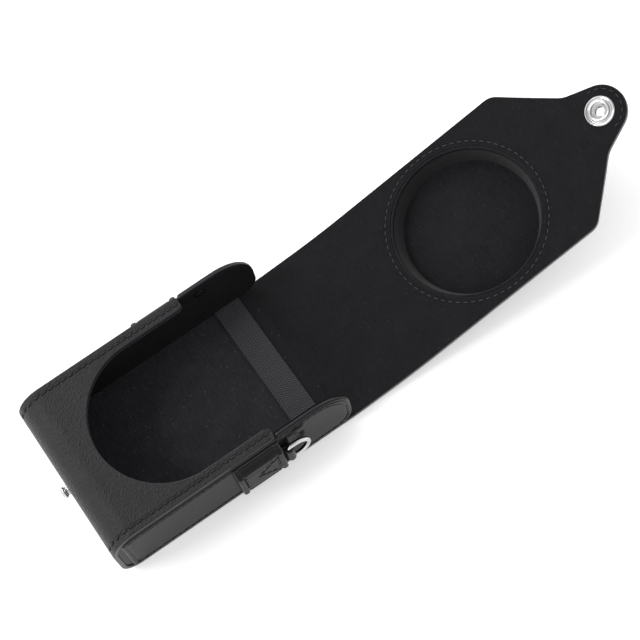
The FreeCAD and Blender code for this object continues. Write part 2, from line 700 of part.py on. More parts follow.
def make_tongue_thread():
    """Stitches round the tip of the tongue."""
    radius = TONGUE_RADIUS - TONGUE_SEAM_INSET
    count = int(math.pi * radius / STITCH_PITCH)
    stitches = []
    for i in range(count):
        one = moved(stitch(THREAD, STITCH_LENGTH * 0.85, THREAD_PROUD), x=radius)
        one.rotate(ORIGIN, Z_AXIS, 180.0 * (i + 0.5) / count)
        stitches.append(one)
    thread = moved(Part.makeCompound(stitches), y=snap_s)
    keep("tongue_thread", laid(thread, TONGUE_STRETCH))


make_case()
make_gussets()
make_sides()
make_flap_panels()
make_cup()
make_snap()
make_tongue_thread()

os.makedirs("parts", exist_ok=True)
for node_name, node_shape in NODES.items():
    node_shape.exportStep("parts/" + node_name + ".step")
print(len(NODES), "pieces; flap leaves the hinge at", round(hinge_slope, 2), "degrees")
for place in places_at_rest:
    print("fold at y %.3f z %.3f" % place)
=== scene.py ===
import json
import math

import bpy
import numpy as np
from mathutils import Matrix, Vector


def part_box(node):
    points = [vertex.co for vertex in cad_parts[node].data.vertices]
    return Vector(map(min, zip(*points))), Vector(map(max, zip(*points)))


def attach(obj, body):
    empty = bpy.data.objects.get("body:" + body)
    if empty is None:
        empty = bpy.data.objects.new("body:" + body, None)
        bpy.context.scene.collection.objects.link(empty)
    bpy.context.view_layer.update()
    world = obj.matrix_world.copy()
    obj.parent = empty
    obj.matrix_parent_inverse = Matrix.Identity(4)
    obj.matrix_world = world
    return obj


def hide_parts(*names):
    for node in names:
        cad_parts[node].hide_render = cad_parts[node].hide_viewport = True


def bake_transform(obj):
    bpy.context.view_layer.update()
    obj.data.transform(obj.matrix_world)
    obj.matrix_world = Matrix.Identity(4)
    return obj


bl_info = {
    "name": "Leather Camera Case",
    "version": (1, 0, 0),
    "blender": (4, 5, 0),
    "location": "3D View > Sidebar > Camera Case",
    "description": "Builds the skins, seams, fittings and finishes of a leather camera case round its frame",
    "category": "Add Mesh",
}

# The whole wrap and flap share one length of leather.  A point on it is (x, s, h): x across, s along
# the lining's face, counted from the flap's hinge, and h above that face, towards the inside of the
# closed case.  Everything is in metres.

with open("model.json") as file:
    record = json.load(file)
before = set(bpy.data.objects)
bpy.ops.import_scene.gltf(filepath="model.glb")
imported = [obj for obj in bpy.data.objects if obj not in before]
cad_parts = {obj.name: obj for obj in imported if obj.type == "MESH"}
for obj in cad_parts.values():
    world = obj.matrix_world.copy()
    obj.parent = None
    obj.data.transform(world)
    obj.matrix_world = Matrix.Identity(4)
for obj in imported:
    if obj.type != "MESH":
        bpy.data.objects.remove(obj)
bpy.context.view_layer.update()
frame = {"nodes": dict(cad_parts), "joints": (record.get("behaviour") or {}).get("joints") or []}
MM = 0.001

wrap_low, wrap_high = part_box("outer_wrap")
gusset_low, gusset_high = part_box("right_gusset_leather")
lining_low, lining_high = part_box("right_gusset_lining")
floor_low, floor_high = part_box("pocket_lining")
fold_joints = [joint for joint in frame["joints"] if joint["axis"] == [1, 0, 0]]
hinges = [tuple(joint["pos_m"]) for joint in fold_joints]

HALF_WIDTH = wrap_high.x
DEPTH = wrap_high.z
CLOSED_END = wrap_low.y
SHELL = floor_low.z                       # leather and board
PANEL = hinges[0][2]                      # leather, board and lining
LINING = PANEL - SHELL
EAR_TIP = gusset_high.y
GUSSET_IN = lining_low.x
GUSSET_OUT = gusset_high.x

# Slope of the flap's stretch from each hinge to the next one, and of the tongue past the last hinge.
SLOPES = [math.atan2(b[2] - a[2], b[1] - a[1]) for a, b in zip(hinges, hinges[1:])]
SLOPES.append(2 * SLOPES[-1] - SLOPES[-2])

# Distance of each hinge along the flap, and how far the bend over it reaches to either side.
FOLD_S = np.concatenate([[0.0], np.cumsum([math.dist(a[1:], b[1:]) for a, b in zip(hinges, hinges[1:])])])
BEND_REACH = [2.6 * MM] + [2.4 * MM] * 3 + [2.0 * MM] * 3

WRAP_END = -6 * MM                        # where the wrap's back ends, before the flap's hinge
FRONT_MARGIN = 3 * MM                     # stiff front's ends, inwards from its two hinges
TONGUE_MARGIN = 2.1 * MM                  # stiff tongue's start, past its hinge
STITCH_PITCH = 3.05 * MM
GUSSET_SEAM = 2.0 * MM                    # stitches inwards from the raised layer's edge
FACE_INSET = 0.3 * MM                     # edge of the raised layer inside the plate's own
BARE_STRIP = 2.25 * MM                    # gusset left bare beside the closed end
FRONT_STITCH = 1.25 * MM                  # half lengths of a stitch
GUSSET_STITCH = 1.15 * MM

# Finishes of a piece's top, bottom and edge.
FLAP_FACES = ("flap lining", "grained leather", "edge paint")
WRAP_FACES = ("edge paint", "grained leather", "edge paint")
# the sides' pieces take a smoother leather darkened as painted shade
GUSSET_FACES = ("gusset leather", "gusset leather", "edge paint")
SIDES = (("right", 1.0), ("left", -1.0))

FLOOR_REACH = 3.0
FLOOR_HEIGHT = -0.2 * MM
LIGHTS = (                                # name, place, aim, width and power
    ("Key", (-1.2, -0.25, 1.0), (0.0, 0.06, 0.0), 1.1, 6.5),
    ("End light", (-0.3, -0.95, 1.2), (0.0, 0.0, 0.0), 0.35, 6.0))
SKY = (                                   # axis, direction's share from and to, and the glow there
    ("Z", 0.70, 0.95, 1.1, 0.42),
    ("X", -0.6, 0.7, 1.15, 0.95))
LENS, SENSOR, FAR = 107.65, 36.0, 20.0
CAMERA_PLACE = (0.26972, -0.02349, 0.71826)
CAMERA_AXES = (                           # right, up and away from what it looks at
    (0.55754, 0.82258, -0.11190),
    (-0.74963, 0.55679, 0.35782),
    (0.35665, -0.11561, 0.92706))


def node_points(node):
    """Corners of a node's mesh, one row each."""
    mesh = frame["nodes"][node].data
    points = np.empty(len(mesh.vertices) * 3)
    mesh.vertices.foreach_get("co", points)
    return points.reshape(-1, 3)


def cluster_centres(node):
    """Middle, long and wide directions and half length of each separate solid in a node."""
    mesh = frame["nodes"][node].data
    edges = np.empty(len(mesh.edges) * 2, np.int64)
    mesh.edges.foreach_get("vertices", edges)
    unique, same = np.unique(np.round(node_points(node), 7), axis=0, return_inverse=True)
    edges = same.reshape(-1)[edges].reshape(-1, 2)
    label = np.arange(len(unique))
    while True:
        lowest = np.minimum(label[edges[:, 0]], label[edges[:, 1]])
        fresh = label.copy()
        np.minimum.at(fresh, edges[:, 0], lowest)
        np.minimum.at(fresh, edges[:, 1], lowest)
        if np.array_equal(fresh, label):
            break
        label = fresh
    found = []
    for one in np.unique(label):
        own = unique[label == one]
        middle = own.mean(0)
        axes = np.linalg.eigh((own - middle).T @ (own - middle))[1]
        found.append((middle, axes[:, 2], axes[:, 1], np.abs((own - middle) @ axes[:, 2]).max()))
    return found


# ---------------------------------------------------------------- settings

def length_setting(label, words, value):
    return bpy.props.FloatProperty(name=label, description=words, default=value, unit="LENGTH",
                                   precision=5, min=0.0)


def colour_setting(label, words, value):
    return bpy.props.FloatVectorProperty(name=label, description=words, default=value, subtype="COLOR",
                                         size=3, min=0.0, max=1.0)


class WrapSizes(bpy.types.PropertyGroup):
    """Sizes of the pocket's wrap that the frame's boxes don't give"""
    front_radius: length_setting("Front rounding", "Radius between front and closed end", 11.5 * MM)
    back_radius: length_setting("Back rounding", "Radius between closed end and back", 8.0 * MM)
    cutout_radius: length_setting("Cut-out radius", "Half the width of the front cut-out", 30.2 * MM)
    cutout_centre: bpy.props.FloatProperty(
        name="Cut-out centre", description="Place along the pocket of the middle of the cut-out's arc",
        default=-6.5 * MM, unit="LENGTH")
    leg_end: length_setting("Leg end", "Where the two legs beside the cut-out end", 21.6 * MM)
    leg_corner: length_setting("Leg corner", "Rounding of a leg's inner corner", 2.0 * MM)
    seam_inset: length_setting("Seam inset", "Front seams, inwards from the edge", 3.0 * MM)


class FlapSizes(bpy.types.PropertyGroup):
    """Outline of the flap and its lens cup"""
    taper_angle: bpy.props.FloatProperty(
        name="Taper angle", description="Between the tapering edge and the fold lines",
        default=math.radians(46.2), subtype="ANGLE")
    tongue_angle: bpy.props.FloatProperty(
        name="Tongue angle", description="Between the tongue's edge and its middle line",
        default=math.radians(21.7), subtype="ANGLE")
    tongue_radius: length_setting("Tongue radius", "Rounding of the tongue's tip", 10.9 * MM)
    neck_behind_snap: length_setting("Neck", "Distance of the tongue's neck behind the snap", 7.7 * MM)
    neck_radius: length_setting("Neck rounding", "Rounding where the taper meets the tongue", 11.0 * MM)
    corner_radius: length_setting("Corner rounding", "Rounding where the taper starts", 7.0 * MM)
    cup_mouth: length_setting("Cup mouth", "Radius of the lens cup's mouth", 30.3 * MM)
    cup_floor: length_setting("Cup floor", "Radius of the lens cup's floor", 28.15 * MM)
    cup_depth: length_setting("Cup depth", "Lining's face to the cup's floor", 8.4 * MM)
    cup_wall: length_setting("Cup wall", "Lining, former and leather together", 2.5 * MM)
    cup_flange: length_setting("Cup flange", "Glued rim outside the cup", 2.8 * MM)
    seam_offset: length_setting("Cup seam", "Stitches outwards from the cup's mouth", 3.2 * MM)


class FinishColours(bpy.types.PropertyGroup):
    """Colours of the case's materials, as linear values"""
    leather: colour_setting("Leather", "Dyed leather", (0.0142, 0.0142, 0.0156))
    lining: colour_setting("Lining", "Brushed microfibre", (0.0072, 0.0072, 0.0084))
    elastic: colour_setting("Elastic", "Woven band", (0.034, 0.034, 0.038))
    thread: colour_setting("Thread", "Waxed thread", (0.003, 0.003, 0.0034))
    metal: colour_setting("Metal", "Nickel plate", (0.60, 0.60, 0.60))
    backdrop: colour_setting("Backdrop", "Floor and surroundings", (0.93, 0.93, 0.93))


# ---------------------------------------------------------------- curves and outlines

def rounded(corners, closed=True, step=math.radians(4)):
    """Points of an outline whose corners (u, v, radius) are arcs tangent to both their sides."""
    corners = [tuple(c) + (0.0,) * (3 - len(c)) for c in corners]
    found = []
    count = len(corners)
    for i, (u, v, radius) in enumerate(corners):
        corner = np.array([u, v])
        if radius <= 0 or (not closed and i in (0, count - 1)):
            found.append(corner[None])
            continue
        back = np.array(corners[i - 1][:2]) - corner
        ahead = np.array(corners[(i + 1) % count][:2]) - corner
        back /= np.linalg.norm(back)
        ahead /= np.linalg.norm(ahead)
        half = math.acos(np.clip(back @ ahead, -1, 1)) / 2
        middle = (back + ahead) / np.linalg.norm(back + ahead)
        centre = corner + middle * radius / math.sin(half)
        first = corner + back * radius / math.tan(half) - centre
        sweep = math.pi - 2 * half
        sign = -1.0 if back[0] * ahead[1] - back[1] * ahead[0] > 0 else 1.0
        angles = np.linspace(0, sweep, max(3, int(sweep / step)))
        turn = np.stack([np.cos(angles), np.sin(angles) * sign], 1)
        arc = np.stack([first[0] * turn[:, 0] - first[1] * turn[:, 1],
                        first[0] * turn[:, 1] + first[1] * turn[:, 0]], 1) + centre
        found.append(arc)
    return np.concatenate(found)


def evenly(points, spacing):
    """The outline with points added on its long sides, no further apart than the spacing."""
    found = []
    for start, end in zip(points, np.roll(points, -1, 0)):
        parts = max(1, int(math.ceil(np.linalg.norm(end - start) / spacing)))
        found.append(start + (end - start) * np.arange(parts)[:, None] / parts)
    return np.concatenate(found)


def distance_to(line, points, closed=True):
    """Distance of each point from a line of straight pieces, in the plane."""
    ends = np.roll(line, -1, 0) if closed else line[1:]
    starts = line if closed else line[:-1]
    nearest = np.full(len(points), np.inf)
    for start, end in zip(starts, ends):
        run = end - start
        share = np.clip(((points - start) @ run) / max(run @ run, 1e-18), 0, 1)
        gap = points - start - share[:, None] * run
        nearest = np.minimum(nearest, (gap * gap).sum(1))
    return np.sqrt(nearest)


class Course:
    """Line in a plane that starts at a place and heading and turns evenly along each stretch.

    stretches are (length, turn) pairs.  place(s, h) gives the point at distance s along the line and h
    to its left, by adding up short straight steps.
    """

    def __init__(self, origin, heading, stretches, origin_s=0.0, step=0.05 * MM):
        lengths = np.array([length for length, turn in stretches])
        turns = np.array([turn for length, turn in stretches])
        marks = np.concatenate([[0.0], np.cumsum(lengths)])
        headings = heading + np.concatenate([[0.0], np.cumsum(turns)])
        along = np.linspace(0, marks[-1], int(marks[-1] / step) + 2)
        self.heading = np.interp(along, marks, headings)
        middle = (self.heading[1:] + self.heading[:-1]) / 2
        steps = np.diff(along)
        u = np.concatenate([[0.0], np.cumsum(np.cos(middle) * steps)])
        v = np.concatenate([[0.0], np.cumsum(np.sin(middle) * steps)])
        self.along = along - origin_s
        self.u = u + origin[0] - np.interp(origin_s, along, u)
        self.v = v + origin[1] - np.interp(origin_s, along, v)

    def place(self, s, h):
        heading = np.interp(s, self.along, self.heading)
        return (np.interp(s, self.along, self.u) - h * np.sin(heading),
                np.interp(s, self.along, self.v) + h * np.cos(heading))


def leather_course(sizes):
    """The wrap and flap's lining face from the front legs' end, round the pocket, to the tongue's tip."""
    front = sizes.front_radius - PANEL
    back = sizes.back_radius - PANEL
    quarter = math.pi / 2
    hinge_y = hinges[0][1]
    stretches = [(sizes.leg_end - CLOSED_END - sizes.front_radius, 0.0), (front * quarter, quarter),
                 (DEPTH - sizes.front_radius - sizes.back_radius, 0.0), (back * quarter, quarter),
                 (hinge_y - CLOSED_END - sizes.back_radius - BEND_REACH[0], 0.0)]
    case_length = sum(length for length, turn in stretches) + BEND_REACH[0]
    slopes = [0.0] + SLOPES
    for i, reach in enumerate(BEND_REACH):
        stretches.append((2 * reach, slopes[i + 1] - slopes[i]))
        if i + 1 < len(hinges):
            run = math.dist(hinges[i][1:], hinges[i + 1][1:])
            stretches.append((run - reach - BEND_REACH[i + 1], 0.0))
    stretches.append((60 * MM, 0.0))
    return Course((hinge_y, PANEL), -math.pi, stretches, case_length), -case_length


def front_bend(sizes, start):
    """Distances along the leather where the rounding between the front and the closed end starts and ends."""
    first = start + sizes.leg_end - CLOSED_END - sizes.front_radius
    return first, first + (sizes.front_radius - PANEL) * math.pi / 2


# ---------------------------------------------------------------- meshes

def signed_volume(points, groups):
    """Sum over all faces, cut into fans of triangles, of corner . (corner x corner) / 6."""
    total = 0.0
    for faces in groups:
        first = points[faces[:, 0]]
        for i in range(1, faces.shape[1] - 1):
            total += (first * np.cross(points[faces[:, i]], points[faces[:, i + 1]])).sum()
    return total / 6


def make_mesh(name, points, groups, finishes, shades=None, skin=None):
    """New closed piece, facing outwards, from points and groups of faces with equally many corners.

    finishes are names, shades gives each group's number among them, and skin each point's place on the
    leather, for its UV.
    """
    if signed_volume(points, groups) < 0:
        groups = [faces[:, ::-1] for faces in groups]
    mesh = bpy.data.meshes.new(name)
    corners = np.concatenate([faces.reshape(-1) for faces in groups]).astype(np.int32)
    totals = np.concatenate([np.full(len(faces), faces.shape[1], np.int32) for faces in groups])
    starts = np.concatenate([[0], np.cumsum(totals)[:-1]]).astype(np.int32)
    mesh.vertices.add(len(points))
    mesh.vertices.foreach_set("co", np.ascontiguousarray(points, np.float32).reshape(-1))
    mesh.loops.add(len(corners))
    mesh.loops.foreach_set("vertex_index", corners)
    mesh.polygons.add(len(totals))
    mesh.polygons.foreach_set("loop_start", starts)
    mesh.polygons.foreach_set("loop_total", totals)
    for one in finishes:
        mesh.materials.append(finish(one))
    if shades is not None:
        numbers = np.concatenate([np.full(len(faces), shade, np.int32)
                                  for faces, shade in zip(groups, shades)])
        mesh.polygons.foreach_set("material_index", numbers)
    mesh.update(calc_edges=True)
    mesh.polygons.foreach_set("use_smooth", np.ones(len(mesh.polygons), bool))
    if skin is not None:
        layer = mesh.uv_layers.new(name="Skin")
        layer.data.foreach_set("uv", np.ascontiguousarray(skin[corners], np.float32).reshape(-1))
    piece = bpy.data.objects.new(name, mesh)
    bpy.context.scene.collection.objects.link(piece)
    return piece


def welded(points, groups):
    """Merge points that coincide; a quad that loses one corner turns into a triangle."""
    unique, same = np.unique(np.round(points, 7), axis=0, return_inverse=True)
    same = same.reshape(-1)
    kept = []
    for faces in groups:
        faces = same[faces]
        repeats = faces == np.roll(faces, -1, 1)
        kept.append(faces[repeats.sum(1) == 0])
        if faces.shape[1] == 4:
            one_short = repeats.sum(1) == 1
            thin = faces[one_short]
            start = np.argmax(repeats[one_short], axis=1) if len(thin) else np.empty(0, int)
            kept.append(np.take_along_axis(thin, (start[:, None] + 1 + np.arange(3)) % 4, 1))
    return unique, [faces for faces in kept if len(faces)]


def grid_faces(rows, columns, wrap=False, loop=False):
    """Quads of a grid, numbered row by row; it may wrap round its columns and loop round its rows."""
    number = np.arange(rows * columns).reshape(rows, columns)
    if loop:
        number = np.concatenate([number, number[:1]], 0)
    if wrap:
        number = np.concatenate([number, number[:, :1]], 1)
    corners = [number[:-1, :-1], number[:-1, 1:], number[1:, 1:], number[1:, :-1]]
    return np.stack(corners, -1).reshape(-1, 4)


def boundary_edges(groups):
    """Directed edges that belong to one face only."""
    pairs = np.concatenate([np.stack([g, np.roll(g, -1, 1)], -1).reshape(-1, 2) for g in groups])
    key = pairs.min(1) * (pairs.max() + 1) + pairs.max(1)
    first, count = np.unique(key, return_index=True, return_counts=True)[1:]
    return pairs[first[count == 1]]


def edge_drop(distance, radius):
    """How far a rounded edge falls below its face, by a quarter circle of that radius."""
    inside = np.clip(radius - distance, 0, radius)
    return radius - np.sqrt(np.maximum(radius ** 2 - inside ** 2, 0))


def bump(distance, reach):
    """Smooth rise from 0 at the reach to 1 in the middle: (1 - (distance / reach)^2)^2."""
    return np.clip(1 - (distance / reach) ** 2, 0, 1) ** 2


# ---------------------------------------------------------------- flat sheets of points

def oriented(points, groups):
    """Turn every face of a flat sheet the same way round, by the sign of its area."""
    found = []
    for faces in groups:
        u, v = points[faces][..., 0], points[faces][..., 1]
        area = (u * np.roll(v, -1, 1) - np.roll(u, -1, 1) * v).sum(1)
        faces = faces.copy()
        faces[area < 0] = faces[area < 0][:, ::-1]
        found.append(faces)
    return points, found


def joined(*sheets):
    """One sheet from several that meet edge to edge."""
    start, points, groups = 0, [], []
    for own_points, own_groups in sheets:
        points.append(own_points)
        groups += [faces + start for faces in own_groups]
        start += len(own_points)
    return oriented(*welded(np.concatenate(points), groups))


def grid_sheet(us, vs):
    """Sheet over every pair of a u and a v."""
    u, v = np.meshgrid(us, vs)
    return oriented(np.stack([u.ravel(), v.ravel()], 1), [grid_faces(len(vs), len(us))])


def ruled_sheet(inner, outer, near_inner, near_outer, middle, closed=False, fill=False):
    """Sheet of straight lines from an inner line of points to an outer one.

    Rows lie at the given distances from either line, and evenly between those.  fill closes the middle.
    """
    run = outer - inner
    length = np.linalg.norm(run, axis=1)
    first, last = near_inner[-1], near_outer[-1]
    shares = np.linspace(0, 1, middle + 2)[1:-1]
    gaps = [np.full(len(length), d) for d in near_inner]
    gaps += [first + (length - first - last) * share for share in shares]
    gaps += [length - d for d in near_outer[::-1]]
    points = inner[None] + (run / length[:, None])[None] * np.stack(gaps)[..., None]
    groups = [grid_faces(len(gaps), len(inner), closed)]
    if fill:
        groups.append(np.arange(len(inner))[None])
    return oriented(*welded(points.reshape(-1, 2), groups))


def ring_sheet(centre, radius, outline, near_inner, near_outer, middle):
    """Sheet from a round hole out to an outline, along rays from the hole's centre."""
    ray = outline - centre
    inner = centre + ray / np.linalg.norm(ray, axis=1)[:, None] * radius
    return ruled_sheet(inner, outline, near_inner, near_outer, middle, closed=True)


def filled_sheet(outline, core, near_edge, middle, core_radius=2 * MM):
    """Sheet inside an outline, with rows round a short line between two core points."""
    start, end = np.asarray(core[0]), np.asarray(core[1])
    run = end - start
    share = np.clip(((outline - start) @ run) / (run @ run), 0, 1)
    nearest = start + share[:, None] * run
    ray = outline - nearest
    inner = nearest + ray / np.linalg.norm(ray, axis=1)[:, None] * core_radius
    return ruled_sheet(inner, outline, [0.0], near_edge, middle, closed=True, fill=True)


def slab(name, sheet, place, top, bottom, finishes, radius=0.35 * MM, cut=None, line=None):
    """Closed piece over a flat sheet, between a top and a bottom height, with rounded edges.

    The sheet's edge is drawn in by the radius, and the edge is a quarter circle from each face: at an
    angle a it stands out by radius sin a and drops by radius (1 - cos a).  place(points, heights)
    carries the sheet into the frame.  cut(middles) says which edges are flat cuts where the next piece
    goes on.  finishes are those of the top, the bottom and the edge, or one for all three; above a
    height `line` the edge has the top's.
    """
    points, groups = sheet
    count = len(points)
    edges = boundary_edges(groups)
    run = points[edges[:, 1]] - points[edges[:, 0]]
    normal = np.stack([run[:, 1], -run[:, 0]], 1) / np.linalg.norm(run, axis=1)[:, None]
    flat_cut = np.zeros(len(edges), bool)
    if cut is not None:
        flat_cut = cut((points[edges[:, 0]] + points[edges[:, 1]]) / 2)
    rim = edges[~flat_cut]
    outward = np.zeros_like(points)
    np.add.at(outward, rim[:, 0], normal[~flat_cut])
    np.add.at(outward, rim[:, 1], normal[~flat_cut])
    outward /= np.maximum(np.linalg.norm(outward, axis=1), 1e-12)[:, None]
    high = np.broadcast_to(top, count).astype(float)
    low = np.broadcast_to(bottom, count).astype(float)

    turns = np.radians([0, 30, 60, 90])
    rings = [(radius * math.sin(a), high - radius * (1 - math.cos(a))) for a in turns]
    above = len(rings)
    if line is not None:
        rings.append((radius, np.full(count, line)))
    rings += [(radius * math.sin(a), low + radius * (1 - math.cos(a))) for a in turns[::-1]]
    flat = points - outward * radius
    order = np.unique(rim)
    number = np.full(count, -1)
    number[order] = np.arange(len(order))

    def at(ring, which):
        if ring == 0:
            return which
        if ring == len(rings) - 1:
            return which + count
        return 2 * count + (ring - 1) * len(order) + number[which]

    plan, heights = [flat, flat], [high, low]
    for out, height in rings[1:-1]:
        plan.append((flat + outward * out)[order])
        heights.append(height[order])
    faces = list(groups) + [g[:, ::-1] + count for g in groups]
    shades = [0] * len(groups) + [1] * len(groups)
    for ring in range(len(rings) - 1):
        faces.append(np.stack([at(ring, rim[:, 1]), at(ring, rim[:, 0]),
                               at(ring + 1, rim[:, 0]), at(ring + 1, rim[:, 1])], 1))
        shades.append(0 if line is not None and ring < above else 2)
    total = sum(len(part) for part in plan)
    if flat_cut.any():
        wall = edges[flat_cut]
        corners = np.concatenate([wall[:, 1], wall[:, 0]])
        plan += [flat[corners], flat[corners]]
        heights += [high[corners], low[corners]]
        half = np.arange(len(wall))
        faces.append(half[:, None] + np.array([0, 1, 3, 2]) * len(wall) + total)
        shades.append(2)
        total += 4 * len(wall)
        for side, turned_back in ((0, False), (1, True)):
            ends = wall[:, side][number[wall[:, side]] >= 0]
            if not len(ends):
                continue
            for out, height in rings:
                plan.append(flat[ends] + outward[ends] * out)
                heights.append(height[ends])
            cap = np.arange(len(ends))[:, None] + np.arange(len(rings))[None] * len(ends) + total
            faces.append(cap[:, ::-1] if turned_back else cap)
            shades.append(2)
            total += len(rings) * len(ends)
    plan = np.concatenate(plan)
    finishes = list(finishes) * (3 // len(finishes))
    return make_mesh(name, place(plan, np.concatenate(heights)), faces, finishes, shades, plan)


def revolved(name, profile, centre, axis, finishes, count=96, shades=None):
    """Closed piece turned about an axis, from a profile of (radius, height along the axis) points."""
    profile = np.asarray(profile, float)
    axis = np.asarray(axis, float) / np.linalg.norm(axis)
    side = np.array([1.0, 0.0, 0.0]) if abs(axis[0]) < 0.9 else np.array([0.0, 1.0, 0.0])
    side -= axis * (side @ axis)
    side /= np.linalg.norm(side)
    other = np.cross(axis, side)
    angles = np.linspace(0, 2 * math.pi, count, endpoint=False)
    ring = np.cos(angles)[:, None] * side + np.sin(angles)[:, None] * other
    points = (profile[:, None, :1] * ring[None] + profile[:, None, 1:] * axis).reshape(-1, 3)
    points += np.asarray(centre)
    closing = profile[0, 0] > 0 or profile[-1, 0] > 0
    groups, numbers = [], []
    rows = len(profile)
    for row in range(rows if closing else rows - 1):
        ahead = (row + 1) % rows
        near = np.arange(count)
        far = np.roll(near, -1)
        band = np.stack([near + row * count, far + row * count,
                         far + ahead * count, near + ahead * count], 1)
        if profile[row, 0] == 0:
            band = band[:, [0, 2, 3]]
            band[:, 0] = row * count
        elif profile[ahead, 0] == 0:
            band = band[:, [0, 1, 2]]
            band[:, 2] = ahead * count
        groups.append(band)
        numbers.append(0 if shades is None else shades[row])
    used = np.unique(np.concatenate([g.reshape(-1) for g in groups]))
    renumber = np.zeros(len(points), int)
    renumber[used] = np.arange(len(used))
    return make_mesh(name, points[used], [renumber[g] for g in groups], finishes, numbers)


def smooth_profile(corners, step=math.radians(12)):
    """Profile whose corners (radius, height, rounding) are arcs."""
    return rounded(corners, closed=False, step=step)


def tube(name, line, radius, finish_name, sides=24):
    """Round bar along a closed line in a plane square to X, its section a circle square to the line."""
    ahead = np.roll(line, -1, 0) - np.roll(line, 1, 0)
    ahead /= np.linalg.norm(ahead, axis=1)[:, None]
    across = np.cross(ahead, np.array([1.0, 0.0, 0.0]))
    up = np.cross(ahead, across)
    angles = np.linspace(0, 2 * math.pi, sides, endpoint=False)
    ring = np.cos(angles)[None, :, None] * across[:, None] + np.sin(angles)[None, :, None] * up[:, None]
    points = (line[:, None] + radius * ring).reshape(-1, 3)
    return make_mesh(name, points, [grid_faces(len(line), sides, wrap=True, loop=True)], [finish_name])


def stitches(name, places, finish_name, body, nodes, thick):
    """Rows of stitches, each a rounded thread with tapered ends, in place of the nodes' plain ones.

    places holds the middles, directions, upward normals and half lengths.  Along a stitch the thread's
    radius is thick (1 - t^4)^(1/2), t from -1 to 1.
    """
    middle, along, normal, half = places
    across = np.cross(along, normal)
    sides = 7
    t = np.linspace(-1, 1, sides)
    angles = np.linspace(0, 2 * math.pi, sides, endpoint=False)
    swell = np.sqrt(np.clip(1 - t ** 4, 0, 1))
    swell[[0, -1]] = 0.3
    reach = np.repeat(t, sides)[None, :, None]
    wide = (swell[:, None] * np.cos(angles)).reshape(-1)[None, :, None] * thick * 1.1
    tall = (swell[:, None] * np.sin(angles)).reshape(-1)[None, :, None] * thick
    points = (middle[:, None] + reach * (along * half[:, None])[:, None] + wide * across[:, None]
              + tall * normal[:, None]).reshape(-1, 3)
    start = (np.arange(len(middle)) * sides * sides)[:, None, None]
    walls = (grid_faces(sides, sides, wrap=True)[None] + start).reshape(-1, 4)
    ends = np.array([np.arange(sides)[::-1], np.arange(sides) + sides * (sides - 1)])
    caps = (ends[None] + start).reshape(-1, sides)
    piece = make_mesh(name, points, [walls, caps], [finish_name])
    return finished(piece, "thread", body, *nodes)


def node_stitches(node, share=1.0):
    """Places of a node's own stitches: middles, directions, normals and half lengths."""
    middle, along, wide, half = (np.array(part) for part in zip(*cluster_centres(node)))
    return middle, along, np.cross(along, wide), half * share


def marks_along(line, pitch):
    """Places one pitch apart on a closed line in a plane, with the line's direction there."""
    loop = np.concatenate([line, line[:1]])
    run = np.linalg.norm(np.diff(loop, axis=0), axis=1)
    along = np.concatenate([[0.0], np.cumsum(run)])
    count = int(round(along[-1] / pitch))
    marks = (np.arange(count) + 0.5) * along[-1] / count
    at, ahead, behind = (np.stack([np.interp(marks + shift, along, loop[:, k]) for k in (0, 1)], 1)
                         for shift in (0.0, pitch / 3, -pitch / 3))
    ahead -= behind
    return at, ahead / np.linalg.norm(ahead, axis=1)[:, None]


def drawn_inwards(line, inset):
    """Closed line moved inwards by an inset, along the normals of its corners."""
    ahead = np.roll(line, -1, 0) - np.roll(line, 1, 0)
    normal = np.stack([-ahead[:, 1], ahead[:, 0]], 1) / np.linalg.norm(ahead, axis=1)[:, None]
    u, v = line.T
    turning = (u * np.roll(v, -1) - np.roll(u, -1) * v).sum()
    moved = line + normal * inset * (1 if turning > 0 else -1)
    return moved[distance_to(line, moved) > inset * 0.97]


# ---------------------------------------------------------------- finishes

